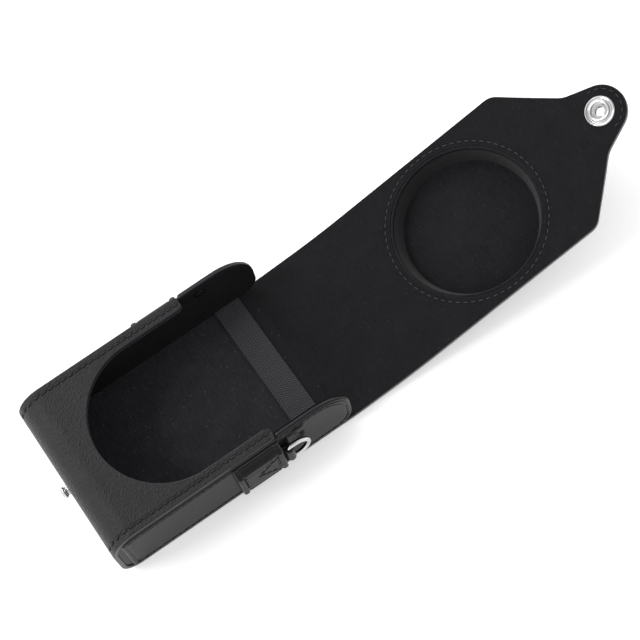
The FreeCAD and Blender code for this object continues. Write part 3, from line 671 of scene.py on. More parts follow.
class Recipe:
    """A material being put together round one principled shader."""

    def __init__(self, name, on_skin=False, **sockets):
        self.result = bpy.data.materials.new(name)
        self.result.use_nodes = True
        self.tree = self.result.node_tree
        self.shader = self.tree.nodes["Principled BSDF"]
        for socket, value in sockets.items():
            self.shader.inputs[socket.replace("_", " ")].default_value = value
        if on_skin:
            self.place = self.node("ShaderNodeUVMap", uv_map="Skin").outputs["UV"]
        else:
            self.place = self.object_place()

    def node(self, kind, inputs=None, **settings):
        made = self.tree.nodes.new(kind)
        for key, value in settings.items():
            setattr(made, key, value)
        for key, value in (inputs or {}).items():
            if isinstance(value, bpy.types.NodeSocket):
                self.tree.links.new(value, made.inputs[key])
            else:
                made.inputs[key].default_value = value
        return made

    def object_place(self):
        return self.node("ShaderNodeTexCoord").outputs["Object"]

    def stretched(self, scale):
        """Coordinates multiplied by a scale on each axis."""
        return self.node("ShaderNodeMapping", {"Vector": self.place, "Scale": scale}).outputs[0]

    def noise(self, scale, detail=3.0, place=None):
        return self.node("ShaderNodeTexNoise", {"Vector": place or self.place, "Scale": scale,
                                                "Detail": detail, "Roughness": 0.55}).outputs[0]

    def cells(self, scale):
        inputs = {"Vector": self.place, "Scale": scale}
        return self.node("ShaderNodeTexVoronoi", inputs).outputs["Distance"]

    def maths(self, operation, a, b=0.0):
        return self.node("ShaderNodeMath", {0: a, 1: b}, operation=operation).outputs[0]

    def spread(self, value, low, high, to_low, to_high):
        return self.node("ShaderNodeMapRange", {"Value": value, "From Min": low, "From Max": high,
                                                "To Min": to_low, "To Max": to_high}).outputs["Result"]

    def tint(self, factor, dark, light, low=0.3, high=0.7):
        """Base colour that runs from one shade to another as the factor rises."""
        ramp = self.node("ShaderNodeValToRGB", {"Fac": factor})
        for element, place, shade in zip(ramp.color_ramp.elements, (low, high), (dark, light)):
            element.position = place
            element.color = (*shade, 1)
        self.tree.links.new(ramp.outputs["Color"], self.shader.inputs["Base Color"])

    def roughen(self, value, smooth, rough):
        self.tree.links.new(self.spread(value, 0.3, 0.7, smooth, rough), self.shader.inputs["Roughness"])

    def relief(self, *layers):
        """Bumps laid over each other: each layer is (height, depth in metres)."""
        normal = None
        for height, depth in layers:
            inputs = {"Height": height, "Distance": depth, "Strength": 1.0}
            if normal is not None:
                inputs["Normal"] = normal
            normal = self.node("ShaderNodeBump", inputs).outputs["Normal"]
        self.tree.links.new(normal, self.shader.inputs["Normal"])


def shaded(colour, factor):
    """A colour with each channel multiplied, and none above 1."""
    return tuple(min(1.0, channel * factor) for channel in colour)


def leather_finish(name, colour, on_skin, smooth=False):
    """Corrected-grain leather: small pebbles crossed by fine ripples that run across the case."""
    made = Recipe(name, on_skin, Specular_IOR_Level=0.06 if smooth else 0.24)
    ripple = made.noise(1.0, 2.0, made.stretched((480.0, 1500.0, 1.0 if on_skin else 1500.0)))
    pebble = made.cells(1500.0)
    crease = made.noise(900.0, 3.0)
    wide = made.noise(70.0, 4.0)
    made.tint(made.maths("ADD", made.maths("MULTIPLY", wide, 0.5), made.maths("MULTIPLY", crease, 0.5)),
              shaded(colour, 0.72), shaded(colour, 1.3))
    if smooth:
        made.roughen(wide, 0.20, 0.28)
        made.relief((ripple, 0.03 * MM), (crease, 0.01 * MM))
    else:
        made.roughen(crease, 0.34, 0.48)
        made.relief((ripple, 0.15 * MM), (pebble, 0.20 * MM))
    return made.result


def lining_finish(name, colour, on_skin, sheen=0.12, darker=None):
    """Brushed microfibre: soft nap with fine ribs and a few paler fibres.

    darker gives the two places along the case between which the colour turns from pale to dark: the pale side
    is painted light on the pocket's shaded floor.
    """
    made = Recipe(name, on_skin, Roughness=0.92, Sheen_Weight=sheen, Sheen_Roughness=0.5,
                  Specular_IOR_Level=sheen)
    nap = made.noise(1500.0, 4.0)
    ribs = made.noise(1.0, 2.0, made.stretched((240.0, 1300.0, 1300.0)))
    cloud = made.noise(90.0, 3.0)
    dots = made.spread(made.cells(520.0), 0.10, 0.16, 1.0, 0.0)
    rare = made.maths("GREATER_THAN", made.noise(330.0, 1.0), 0.54)
    fibres = made.maths("MULTIPLY", made.maths("MULTIPLY", dots, rare), 0.75)
    both = made.maths("ADD", made.maths("MULTIPLY", nap, 0.35), made.maths("MULTIPLY", ribs, 0.3))
    both = made.maths("ADD", both, made.maths("MULTIPLY", cloud, 0.2))
    # painted light fades out between the two places, towards the hinge
    if darker:
        along = made.node("ShaderNodeSeparateXYZ", {"Vector": made.object_place()}).outputs["Y"]
        both = made.maths("MULTIPLY", both, made.spread(along, *darker, 1.0, 0.55))
    made.tint(made.maths("ADD", both, fibres), shaded(colour, 0.55), shaded(colour, 3.4), 0.28, 1.0)
    made.relief((ribs, 0.16 * MM), (nap, 0.20 * MM))
    return made.result


def elastic_finish(name, colour):
    """Woven band: zigzag ribs, thread by thread."""
    made = Recipe(name, Roughness=0.7, Sheen_Weight=0.15, Specular_IOR_Level=0.3)
    split = made.node("ShaderNodeSeparateXYZ", {"Vector": made.place})
    fold = made.maths("PINGPONG", split.outputs["Y"], 1.1 * MM)
    across = made.maths("ADD", split.outputs["X"], made.maths("MULTIPLY", fold, 0.75))
    ribs = made.maths("SINE", made.maths("MULTIPLY", across, 2 * math.pi / (1.0 * MM)))
    ends = made.maths("MULTIPLY", fold, 1 / (1.1 * MM))
    rows = made.maths("SINE", made.maths("MULTIPLY", ends, math.pi))
    height = made.maths("ADD", made.maths("MULTIPLY", made.maths("MULTIPLY", ribs, rows), 0.5), 0.5)
    mottled = made.maths("ADD", made.maths("MULTIPLY", height, 0.8),
                         made.maths("MULTIPLY", made.noise(1800.0), 0.2))
    made.tint(mottled, shaded(colour, 0.3), shaded(colour, 1.9), 0.38, 0.85)
    made.relief((height, 0.2 * MM))
    return made.result


def thread_finish(name, colour):
    """Waxed twisted thread."""
    made = Recipe(name, Roughness=0.5, Specular_IOR_Level=0.5)
    twist = made.noise(3500.0, 2.0)
    made.tint(twist, shaded(colour, 0.7), shaded(colour, 1.3))
    made.relief((twist, 0.05 * MM))
    return made.result


def metal_finish(name, colour, polish=0.08):
    """Nickel plate with faint handling marks."""
    made = Recipe(name, Metallic=1.0)
    marks = made.noise(900.0, 4.0)
    made.tint(made.noise(120.0, 2.0), shaded(colour, 0.93), colour)
    made.roughen(marks, polish * 0.8, polish * 1.5)
    made.relief((marks, 0.0006 * MM))
    return made.result


def edge_finish(name, colour):
    """Painted and burnished leather edge, lighter than the leather: partly its paint and partly a painted
    highlight along the cut edges.
    """
    made = Recipe(name, Coat_Weight=0.1, Coat_Roughness=0.25, Specular_IOR_Level=0.25)
    fibre = made.noise(1600.0, 3.0)
    made.tint(fibre, shaded(colour, 0.8), shaded(colour, 1.25))
    made.roughen(fibre, 0.3, 0.42)
    made.relief((fibre, 0.03 * MM))
    return made.result


def backdrop_finish(name, colour):
    """White paper on a faintly glowing table, very faintly mottled."""
    made = Recipe(name, Roughness=0.85, Specular_IOR_Level=0.1, Emission_Strength=0.3,
                  Emission_Color=(1.0, 1.0, 1.0, 1.0))
    made.tint(made.noise(6.0, 2.0), shaded(colour, 0.995), colour)
    return made.result


def finish(name):
    """The case's material of that name, made the first time it is asked for."""
    found = bpy.data.materials.get(name)
    if found is not None:
        return found
    colours = bpy.context.scene.case_colours
    leather, lining = tuple(colours.leather), tuple(colours.lining)
    thread, metal = tuple(colours.thread), tuple(colours.metal)
    makers = {
        "grained leather": lambda: leather_finish(name, leather, True),
        "moulded leather": lambda: leather_finish(name, leather, False),
        # painted shade: smoother leather at half the colour, darkened to stand in for shade on the case's
        # sides
        "gusset leather": lambda: leather_finish(name, shaded(leather, 0.5), False, True),
        "flap lining": lambda: lining_finish(name, lining, True),
        # painted light and painted shade: the cup's dish takes the lining made brighter, its wall the lining
        # made much darker
        "cup lining": lambda: lining_finish(name, shaded(lining, 1.2), False),
        "cup wall lining": lambda: lining_finish(name, shaded(lining, 0.4), False, 0.02),
        # painted shade: the lining inside the gussets, slightly darker and without sheen
        "gusset lining": lambda: lining_finish(name, shaded(lining, 0.95), False, 0.02),
        # painted light: the pocket's shaded inside takes the lining two and a half times as bright, fading
        # past the elastic band
        "pocket lining": lambda: lining_finish(
            name, shaded(lining, 2.5), True,
            darker=(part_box("elastic_band")[0].y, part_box("elastic_band")[1].y)),
        "woven elastic": lambda: elastic_finish(name, tuple(colours.elastic)),
        "dark thread": lambda: thread_finish(name, thread),
        "pale thread": lambda: thread_finish(name, shaded(leather, 1.6)),
        "bright metal": lambda: metal_finish(name, metal),
        "spring wire": lambda: metal_finish(name, shaded(metal, 0.7), 0.25),
        # partly a painted highlight: the cut edges coloured lighter than the leather
        "edge paint": lambda: edge_finish(name, shaded(leather, 1.35)),
        "backdrop": lambda: backdrop_finish(name, tuple(colours.backdrop)),
    }
    return makers[name]()


# ---------------------------------------------------------------- parts of the case

def leather_place(course):
    """Carry (x, s) points at heights into the frame along a course."""
    def place(points, heights):
        y, z = course.place(points[:, 1], heights)
        return np.stack([points[:, 0], y, z], 1)
    return place


def front_sheet(half, sizes, first, last):
    """U of leather round the cut-out: straight legs, then rays from the arc's centre to a rectangle.

    Returns the sheet, its x values on the line s = last, and its s values on the lines x = +-half.
    """
    radius = sizes.cutout_radius
    centre_s = first + sizes.leg_end - sizes.cutout_centre
    corner = math.atan2(last - centre_s, half)
    angles = np.unique(np.concatenate([np.linspace(0, math.pi, 131), [corner, math.pi - corner]]))
    reach = np.minimum(half / np.maximum(np.abs(np.cos(angles)), 1e-9),
                       (last - centre_s) / np.maximum(np.sin(angles), 1e-9))
    ray = np.stack([np.cos(angles), np.sin(angles)], 1)
    leg = np.linspace(first, centre_s, 40)[:-1]
    right_in = np.stack([np.full(len(leg), radius), leg], 1)
    right_out = np.stack([np.full(len(leg), half), leg], 1)
    mirror = np.array([-1.0, 1.0])
    centre = np.array([0.0, centre_s])
    inner = np.concatenate([right_in, centre + ray * radius, (right_in * mirror)[::-1]])
    outer = np.concatenate([right_out, centre + ray * reach[:, None], (right_out * mirror)[::-1]])
    sheet = ruled_sheet(inner, outer, [0.0, 0.5 * MM], [0.0, 0.5 * MM], 5)
    on_last = np.isclose(outer[:, 1], last, atol=1e-9)
    on_side = np.isclose(outer[:, 0], half, atol=1e-9)
    return sheet, np.sort(outer[on_last, 0]), np.sort(outer[on_side, 1])


def wrap_sheet(half, sizes, first, front_end, last, seam=True):
    """The front's U and the rest of the wrap in one sheet, with close rows where the course bends.

    Beside the U run two strips whose close columns carry the seams' grooves.
    """
    seam_x = half - sizes.seam_inset
    inner_half = seam_x - 0.9 * MM if seam else half - 0.8 * MM
    front, xs, side_s = front_sheet(inner_half, sizes, first, front_end)
    bends = [front_end + (sizes.front_radius - PANEL) * math.pi / 2]
    bends.append(bends[0] + DEPTH - sizes.front_radius - sizes.back_radius)
    bends.append(bends[1] + (sizes.back_radius - PANEL) * math.pi / 2)
    if seam:
        beside = np.concatenate([seam_x + np.linspace(-0.9, 0.9, 9) * MM,
                                 [half - 1.4 * MM, half - 0.7 * MM, half]])
    else:
        beside = np.array([inner_half, half])
    rows = [np.linspace(front_end, bends[0], 30), np.linspace(bends[0], bends[1], 10),
            np.linspace(bends[1], bends[2], 18), np.linspace(bends[2], last, 46)]
    rows = np.unique(np.concatenate(rows))
    columns = np.unique(np.concatenate([-beside, xs, beside]))
    columns = columns[np.concatenate([[True], np.diff(columns) > 1e-7])]
    points, groups = joined(front, grid_sheet(beside, side_s), grid_sheet(-beside[::-1], side_s),
                            grid_sheet(columns, rows))
    away = np.abs(points[:, 0])
    rise = (edge_drop(away - sizes.cutout_radius, sizes.leg_corner)
            + edge_drop(half - away, sizes.leg_corner / 2))
    near = np.clip(1 - (points[:, 1] - first) / (6 * MM), 0, 1) * (away > sizes.cutout_radius - 1e-6)
    points = points + np.stack([np.zeros(len(points)), rise * near], 1)
    return points, groups


class Flap:
    """Outline of the flap in (x, s), and the places along it where its pieces meet."""

    def __init__(self, sizes):
        half = HALF_WIDTH
        self.snap_s = FOLD_S[6] + math.dist(hinges[6][1:], snap_centre())
        self.cup_s = FOLD_S[3] + math.dist(hinges[3][1:], cup_centre())
        apex = self.snap_s + sizes.tongue_radius / math.sin(sizes.tongue_angle)
        neck_s = self.snap_s - sizes.neck_behind_snap
        neck_x = (apex - neck_s) * math.tan(sizes.tongue_angle)
        taper_s = neck_s - (half - neck_x) * math.tan(sizes.taper_angle)
        right = [(half, -20 * MM), (half, taper_s, sizes.corner_radius), (neck_x, neck_s, sizes.neck_radius)]
        left = [(-x, s, *rest) for x, s, *rest in reversed(right)]
        line = rounded(right + [(0.0, apex, sizes.tongue_radius)] + left, closed=False)
        self.tip_s = self.snap_s + sizes.tongue_radius
        right_line = line[line[:, 0] >= -1e-9]
        self.line = right_line[np.argsort(right_line[:, 1], kind="stable")]
        middles = (FOLD_S[:-1] + FOLD_S[1:]) / 2
        self.marks = [WRAP_END, *middles[:3], FOLD_S[3] + FRONT_MARGIN,
                      FOLD_S[4] - FRONT_MARGIN, *middles[4:6], FOLD_S[6] + TONGUE_MARGIN]

    def half_width(self, s):
        return np.interp(s, self.line[:, 1], self.line[:, 0])

    def strip(self, start, end):
        """Sheet between two distances along the flap, its columns at even shares of the width."""
        rows = np.linspace(start, end, max(3, int((end - start) / (0.4 * MM))))
        shares = np.linspace(-1, 1, 61)
        points = np.stack([shares[None] * self.half_width(rows)[:, None],
                           np.repeat(rows[:, None], len(shares), 1)], -1).reshape(-1, 2)
        return oriented(points, [grid_faces(len(rows), len(shares))])

    def outline(self, start, end, spacing=1.1 * MM):
        """Closed outline between two distances along the flap."""
        s = np.linspace(start, end, 400)
        right = np.stack([self.half_width(s), s], 1)
        to_tip = end >= self.tip_s - 1e-6
        if to_tip:
            own = self.line[(self.line[:, 1] > start) & (self.line[:, 0] > 1e-6)]
            right = np.concatenate([right[:1], own, [[0.0, self.tip_s]]])
        left = right[::-1] * np.array([-1.0, 1.0])
        if to_tip:
            left = left[1:]
        line = np.concatenate([right, left])
        gap = np.linalg.norm(np.diff(line, axis=0, append=line[:1]), axis=1)
        along = np.concatenate([[0.0], np.cumsum(gap)])
        loop = np.concatenate([line, line[:1]])
        count = int(along[-1] / spacing)
        marks = np.linspace(0, along[-1], count, endpoint=False)
        corners = along[[0, len(right) - 1, len(right), len(line) - 1]]
        marks = np.unique(np.concatenate([marks, corners[corners < along[-1]]]))
        marks = marks[np.concatenate([[True], np.diff(marks) > 0.02 * MM])]
        return np.stack([np.interp(marks, along, loop[:, 0]), np.interp(marks, along, loop[:, 1])], 1)


def unit_from_slope(slope):
    """Direction square to the lining's face at a slope, towards the inside of the closed case."""
    return np.array([-math.sin(slope), math.cos(slope)])


def on_face(node, stretch):
    """Middle of a round node, carried along its axis onto the lining's face of its stretch."""
    ahead = np.array([math.cos(SLOPES[stretch]), math.sin(SLOPES[stretch])])
    hinge = np.array(hinges[stretch][1:])
    along = (node_points(node)[:, 1:] - hinge) @ ahead
    return tuple(hinge + ahead * (along.min() + along.max()) / 2)


def snap_centre():
    """The ring snap's middle in (y, z), on the tongue's lining."""
    return on_face("snap_socket", 6)


def cup_centre():
    """The lens cup's middle in (y, z), on the flap front's lining."""
    return on_face("cup_lining", 3)


def at_marks(*marks):
    """Test for the edges of a sheet that lie on given distances along the leather."""
    def test(middles):
        return np.any([np.abs(middles[:, 1] - mark) < 1e-6 for mark in marks], axis=0)
    return test


def settings():
    """The wrap's and the flap's sizes, the leather's course and the distance at which it starts."""
    scene = bpy.context.scene
    course, start = leather_course(scene.case_wrap)
    return scene.case_wrap, scene.case_flap, course, start


def finished(piece, slot, body, *nodes):
    """Hide the nodes a piece stands for and hang it on the body that carries it; slot is not used."""
    if nodes:
        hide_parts(*nodes)
    if body is not None:
        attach(piece, body)
    return piece


def side_place(sign, base):
    """Carry (y, z) points at heights outwards from the plane x = base, on one side of the case."""
    def place(points, heights):
        return np.stack([sign * (base + heights), points[:, 0], points[:, 1]], 1)
    return place


class CASE_OT_wrap(bpy.types.Operator):
    """Wrap of grained leather: the front with its cut-out, the rounded closed end and the back"""
    bl_idname = "camera_case.wrap"
    bl_label = "Leather wrap"

    def execute(self, context):
        sizes, _, course, start = settings()
        front_end, bend_end = front_bend(sizes, start)
        sheet = wrap_sheet(HALF_WIDTH, sizes, start, front_end, WRAP_END)
        points = sheet[0]
        seam = np.abs(np.abs(points[:, 0]) - (HALF_WIDTH - sizes.seam_inset))
        groove = bump(seam, 0.75 * MM) * np.clip((bend_end - points[:, 1]) / (2 * MM), 0, 1) * 0.3 * MM
        piece = slab("wrap_leather", sheet, leather_place(course), -LINING, -PANEL + groove,
                     WRAP_FACES, radius=0.45 * MM, cut=at_marks(WRAP_END))
        finished(piece, "grained_leather", "case_body",
                 "outer_wrap", "front_board", "back_board", "end_board")

        sheet = wrap_sheet(GUSSET_IN, sizes, start, front_end, WRAP_END, seam=False)
        piece = slab("pocket_lining_skin", sheet, leather_place(course), 0.0, -LINING,
                     ["pocket lining"], radius=0.2 * MM, cut=at_marks(WRAP_END))
        finished(piece, "lining", "case_body", "pocket_lining")
        return {"FINISHED"}


class CASE_OT_folds(bpy.types.Operator):
    """Stretches of supple leather along the flap, each built bent across one fold"""
    bl_idname = "camera_case.folds"
    bl_label = "Flap folds"

    def execute(self, context):
        _, flap_sizes, course, _ = settings()
        flap = Flap(flap_sizes)
        marks = flap.marks
        spans = [(0, 1), (1, 2), (2, 3), (3, 4), (5, 6), (6, 7), (7, 8)]
        own = [("flap_top_leather", "flap_top_board", "flap_top_lining"),
               ("ear_fold_1_leather", "ear_fold_1_lining"), ("ear_fold_2_leather", "ear_fold_2_lining"), (),
               ("tongue_fold_1_leather", "tongue_fold_1_lining"),
               ("tongue_fold_2_leather", "tongue_fold_2_lining"), ()]
        for i, (first, last) in enumerate(spans):
            sheet = flap.strip(marks[first], marks[last])
            piece = slab("flap_fold_%d" % (i + 1), sheet, leather_place(course), 0.0, -PANEL,
                         FLAP_FACES, radius=0.3 * MM, cut=at_marks(marks[first], marks[last]), line=-LINING)
            finished(piece, "grained_leather", None, *own[i])
            reach = BEND_REACH[i] + 0.2 * MM
            before, after = (course.place(FOLD_S[i] + side * reach, 0.0) for side in (-1, 1))
            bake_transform(piece)
        return {"FINISHED"}


class CASE_OT_front(bpy.types.Operator):
    """Stiff stretch of the flap round the lens cup"""
    bl_idname = "camera_case.front"
    bl_label = "Flap front"

    def execute(self, context):
        _, flap_sizes, course, _ = settings()
        flap = Flap(flap_sizes)
        low, high = flap.marks[4], flap.marks[5]
        centre = np.array([0.0, flap.cup_s])
        mouth = flap_sizes.cup_mouth + 1.1 * MM
        near_mouth = [share * MM for share in (0.0, 0.45, 0.9, 1.3, 1.6, 1.85, 2.1, 2.35, 2.6, 3.0)]
        sheet = ring_sheet(centre, mouth, flap.outline(low, high), near_mouth, [0.0, 0.5 * MM], 6)
        away = np.linalg.norm(sheet[0] - centre, axis=1)
        seam = np.abs(away - flap_sizes.cup_mouth - flap_sizes.seam_offset)
        groove = bump(seam, 0.8 * MM) * 0.16 * MM
        piece = slab("flap_front_skin", sheet, leather_place(course), -groove, -PANEL + groove,
                     FLAP_FACES, radius=0.3 * MM, cut=at_marks(low, high), line=-LINING)
        finished(piece, "grained_leather", "flap_front", "flap_front_leather", "flap_front_board",
                 "flap_front_lining")
        return {"FINISHED"}


class CASE_OT_cup(bpy.types.Operator):
    """Moulded lens cup: a lined dish with a rolled lip, in a leather skin"""
    bl_idname = "camera_case.cup"
    bl_label = "Lens cup"

    def execute(self, context):
        sizes = context.scene.case_flap
        mouth, floor, depth = sizes.cup_mouth, sizes.cup_floor, sizes.cup_depth
        y, z = cup_centre()
        axis = (0.0, *unit_from_slope(SLOPES[3]))
        under = depth + 0.9 * MM
        lining = smooth_profile([
            (0.0, -depth + 0.12 * MM), (floor - 1.2 * MM, -depth + 0.02 * MM),
            (floor - 0.55 * MM, -depth - 0.16 * MM, 0.2 * MM),
            (floor - 0.1 * MM, -depth + 0.1 * MM, 0.25 * MM), (mouth - 0.2 * MM, -0.9 * MM, 0.5 * MM),
            (mouth + 0.02 * MM, 0.12 * MM, 0.5 * MM), (mouth + 0.85 * MM, 0.12 * MM, 0.3 * MM),
            (mouth + 1.0 * MM, -0.45 * MM), (mouth + 1.0 * MM, -0.9 * MM),
            (floor + 0.8 * MM, -under), (0.0, -under)])
        radius, height = lining.T
        # the wall's faces take the darker lining: painted shade
        wall = (height < -0.7 * MM) & (height > -depth + 0.3 * MM) & (radius < mouth + 0.2 * MM)
        piece = revolved("cup_lining_skin", lining, (0.0, y, z), axis,
                         ["cup lining", "cup wall lining"], 160, wall.astype(int))
        finished(piece, "lining", "flap_front", "cup_lining", "cup_former")
        thick = sizes.cup_wall
        leather = smooth_profile([
            (0.0, -depth - thick), (floor + thick, -depth - thick, 1.5 * MM),
            (mouth + thick - 0.1 * MM, -3.9 * MM, 2 * MM),
            (mouth + thick + 0.5 * MM, -PANEL - 0.15 * MM, 0.6 * MM),
            (mouth + thick + sizes.cup_flange, -PANEL + 0.15 * MM), (mouth + 1.0 * MM, -PANEL + 0.3 * MM),
            (floor + 0.9 * MM, -under - 0.02 * MM), (0.0, -under - 0.02 * MM)])
        piece = revolved("cup_leather_skin", leather, (0.0, y, z), axis, ["moulded leather"], 160)
        finished(piece, "grained_leather", "flap_front", "cup_leather")
        return {"FINISHED"}


class CASE_OT_tongue(bpy.types.Operator):
    """Stiff tongue with its hole for the snap"""
    bl_idname = "camera_case.tongue"
    bl_label = "Tongue"

    def execute(self, context):
        _, flap_sizes, course, _ = settings()
        flap = Flap(flap_sizes)
        low = flap.marks[8]
        outline = flap.outline(low, flap.tip_s, 0.5 * MM)
        centre = np.array([0.0, flap.snap_s])
        hole = 3.3 * MM
        near_edge = [share * MM for share in (0.0, 0.45, 0.9, 1.25, 1.55, 1.8, 2.05, 2.35, 2.8)]
        sheet = ring_sheet(centre, hole, outline, [0.0, 0.5 * MM], near_edge, 4)
        points = sheet[0]
        gap = np.abs(np.linalg.norm(points - centre, axis=1) - flap_sizes.tongue_radius + 1.8 * MM)
        groove = bump(gap, 0.6 * MM) * (points[:, 1] > flap.snap_s - 1 * MM) * 0.12 * MM
        piece = slab("tongue_skin", sheet, leather_place(course), -groove, -PANEL + groove,
                     FLAP_FACES, radius=0.3 * MM, cut=at_marks(low), line=-LINING)
        finished(piece, "grained_leather", "tongue", "tongue_leather", "tongue_lining")
        return {"FINISHED"}


class CASE_OT_snap(bpy.types.Operator):
    """Pressed snap: the socket's domed ring, the eyelet behind it and the ball stud in the closed end"""
    bl_idname = "camera_case.snap"
    bl_label = "Snap"

    def execute(self, context):
        y, z = snap_centre()
        axis = (0.0, *unit_from_slope(SLOPES[6]))
        fine = math.radians(8)
        socket = smooth_profile([
            (2.75 * MM, -PANEL), (3.2 * MM, -PANEL), (3.2 * MM, -0.02 * MM), (6.1 * MM, -0.02 * MM, 0.1 * MM),
            (6.22 * MM, 0.34 * MM, 0.2 * MM), (5.85 * MM, 0.52 * MM, 0.25 * MM),
            (5.3 * MM, 0.45 * MM, 0.3 * MM), (4.95 * MM, 0.2 * MM, 0.25 * MM),
            (4.5 * MM, 0.72 * MM, 0.35 * MM), (3.8 * MM, 0.92 * MM, 0.5 * MM),
            (3.05 * MM, 0.62 * MM, 0.3 * MM), (2.75 * MM, 0.3 * MM, 0.2 * MM), (2.75 * MM, -0.1 * MM)], fine)
        piece = revolved("snap_socket_ring", socket, (0.0, y, z), axis, ["bright metal"])
        finished(piece, "bright_metal", "tongue", "snap_socket")
        back = -PANEL - 1.0 * MM
        eyelet = smooth_profile([
            (2.3 * MM, -PANEL), (2.3 * MM, back + 0.25 * MM, 0.1 * MM), (2.75 * MM, back, 0.3 * MM),
            (4.2 * MM, back + 0.02 * MM, 0.6 * MM), (6.2 * MM, -PANEL - 0.25 * MM, 0.3 * MM),
            (6.2 * MM, -PANEL)], fine)
        piece = revolved("snap_eyelet_ring", eyelet, (0.0, y, z), axis, ["bright metal"])
        finished(piece, "bright_metal", "tongue", "snap_eyelet")
        stud_low, stud_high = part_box("snap_stud")
        height = (stud_low.z + stud_high.z) / 2
        proud = CLOSED_END - stud_low.y
        neck, ball_radius, neck_top = 1.8 * MM, 2.44 * MM, 1.4 * MM
        collar = smooth_profile([
            (0.0, -0.4 * MM), (2.55 * MM, -0.4 * MM), (2.58 * MM, 0.3 * MM, 0.2 * MM),
            (neck + 0.15 * MM, 0.55 * MM, 0.2 * MM), (neck, neck_top)], fine)
        turn = np.linspace(math.asin(neck / ball_radius), math.pi, 28)
        half = (proud - neck_top) / (1 + math.cos(turn[0]))
        ball = np.stack([ball_radius * np.sin(turn), proud - half - half * np.cos(turn)], 1)
        ball[-1, 0] = 0.0
        stud = np.concatenate([collar[:-1], ball])
        piece = revolved("snap_stud_ball", stud, (0.0, CLOSED_END, height), (0.0, -1.0, 0.0),
                         ["bright metal"], 72)
        finished(piece, "bright_metal", "case_body", "snap_stud")
        return {"FINISHED"}


def gusset_outline(sizes):
    """Gusset in (y, z): it fills the wrap's section, and past the legs it rises to the full depth."""
    low, high = gusset_low.z, DEPTH - gusset_low.z
    end = CLOSED_END + low
    step = sizes.leg_end + 0.15 * MM
    line = rounded([(end, high, sizes.front_radius - low), (end, low, sizes.back_radius - low),
                    (EAR_TIP, low, 9 * MM), (EAR_TIP, DEPTH, 16 * MM),
                    (step + 0.4 * MM, DEPTH), (step, high)])
    return evenly(line, 1.0 * MM)


def raised_outline(sizes):
    """The gusset's outline with everything beside the closed end, up to the bare strip, cut off square."""
    line = gusset_outline(sizes)
    line[:, 0] = np.maximum(line[:, 0], CLOSED_END + gusset_low.z + BARE_STRIP)
    fresh = [line[0]]
    for point in line[1:]:
        if np.linalg.norm(point - fresh[-1]) > 0.15 * MM:
            fresh.append(point)
    return np.array(fresh)


class CASE_OT_gussets(bpy.types.Operator):
    """Two gussets, each a lined plate of smooth leather with a raised outer layer"""
    bl_idname = "camera_case.gussets"
    bl_label = "Gussets"

    def execute(self, context):
        sizes = context.scene.case_wrap
        middle = (gusset_low.z + DEPTH) / 2
        core = [(CLOSED_END + 15 * MM, middle), (EAR_TIP - 15 * MM, middle)]
        border = [share * MM for share in (0.0, 0.45, 0.85, 1.2, 1.5, 1.75, 2.0, 2.25, 2.5, 2.9, 3.5)]
        base = filled_sheet(gusset_outline(sizes), core, [0.0, 0.6 * MM], 5)
        face_line = drawn_inwards(raised_outline(sizes), FACE_INSET)
        face = filled_sheet(face_line, core, border, 5)
        face_out = GUSSET_OUT - GUSSET_IN
        lining_out = lining_high.x - GUSSET_IN
        base_out = face_out - 1.0 * MM
        gap = distance_to(face_line, face[0])
        top = face_out - 0.3 * MM * (1 - np.clip(gap / (1.2 * MM), 0, 1)) ** 2
        top -= 0.42 * MM * bump(gap - GUSSET_SEAM, 0.62 * MM)
        top -= 0.12 * MM * np.clip((gap - GUSSET_SEAM) / (0.6 * MM), 0, 1)
        for side, sign in SIDES:
            place = side_place(sign, GUSSET_IN)
            piece = slab(side + "_gusset_inside", base, place, lining_out, 0.0,
                         ["gusset lining"], radius=0.2 * MM)
            finished(piece, "lining", "case_body", side + "_gusset_lining")
            piece = slab(side + "_gusset_core", base, place, base_out, lining_out,
                         GUSSET_FACES, radius=0.25 * MM)
            finished(piece, "smooth_leather", "case_body", side + "_gusset_board")
            piece = slab(side + "_gusset_face", face, place, top, base_out - 0.05 * MM,
                         GUSSET_FACES, radius=0.4 * MM)
            finished(piece, "smooth_leather", "case_body", side + "_gusset_leather")
        return {"FINISHED"}


class CASE_OT_rivets(bpy.types.Operator):
    """Rivet through each gusset: a cap inside, bright metal on the right and dark leather on the left, and a
    leather-covered head outside
    """
    bl_idname = "camera_case.rivets"
    bl_label = "Rivets"

    def execute(self, context):
        low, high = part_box("right_rivet_cap")
        y, z = (low.y + high.y) / 2, (low.z + high.z) / 2
        head = (high.z - low.z) / 2
        tall = high.x - low.x
        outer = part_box("right_gusset_rivet")[1].x - GUSSET_OUT
        dome = smooth_profile([(0.0, -0.2 * MM), (head * 0.98, -0.2 * MM), (head, tall * 0.35, 0.2 * MM),
                               (head * 0.8, tall * 0.85, 0.6 * MM), (head * 0.3, tall, 1.2 * MM),
                               (0.0, tall)], math.radians(8))
        bulge = smooth_profile([(0.0, -0.3 * MM), (head * 1.35, -0.3 * MM), (head * 1.3, 0.0),
                                (head * 1.1, 0.1 * MM, 0.4 * MM), (head * 0.9, outer * 0.75, 0.5 * MM),
                                (head * 0.45, outer, 1.0 * MM), (0.0, outer)], math.radians(8))
        for side, sign in SIDES:
            # the left cap takes the sides' darker leather instead of metal, so it shows dark
            bare = side == "right"
            piece = revolved(side + "_rivet_dome", dome, (sign * GUSSET_IN, y, z), (-sign, 0.0, 0.0),
                             ["bright metal" if bare else "gusset leather"], 64)
            finished(piece, "bright_metal" if bare else "smooth_leather", "case_body", side + "_rivet_cap")
            piece = revolved(side + "_rivet_bulge", bulge, (sign * GUSSET_OUT, y, z), (sign, 0.0, 0.0),
                             ["gusset leather"], 64)
            finished(piece, "smooth_leather", "case_body", side + "_gusset_rivet")
        return {"FINISHED"}


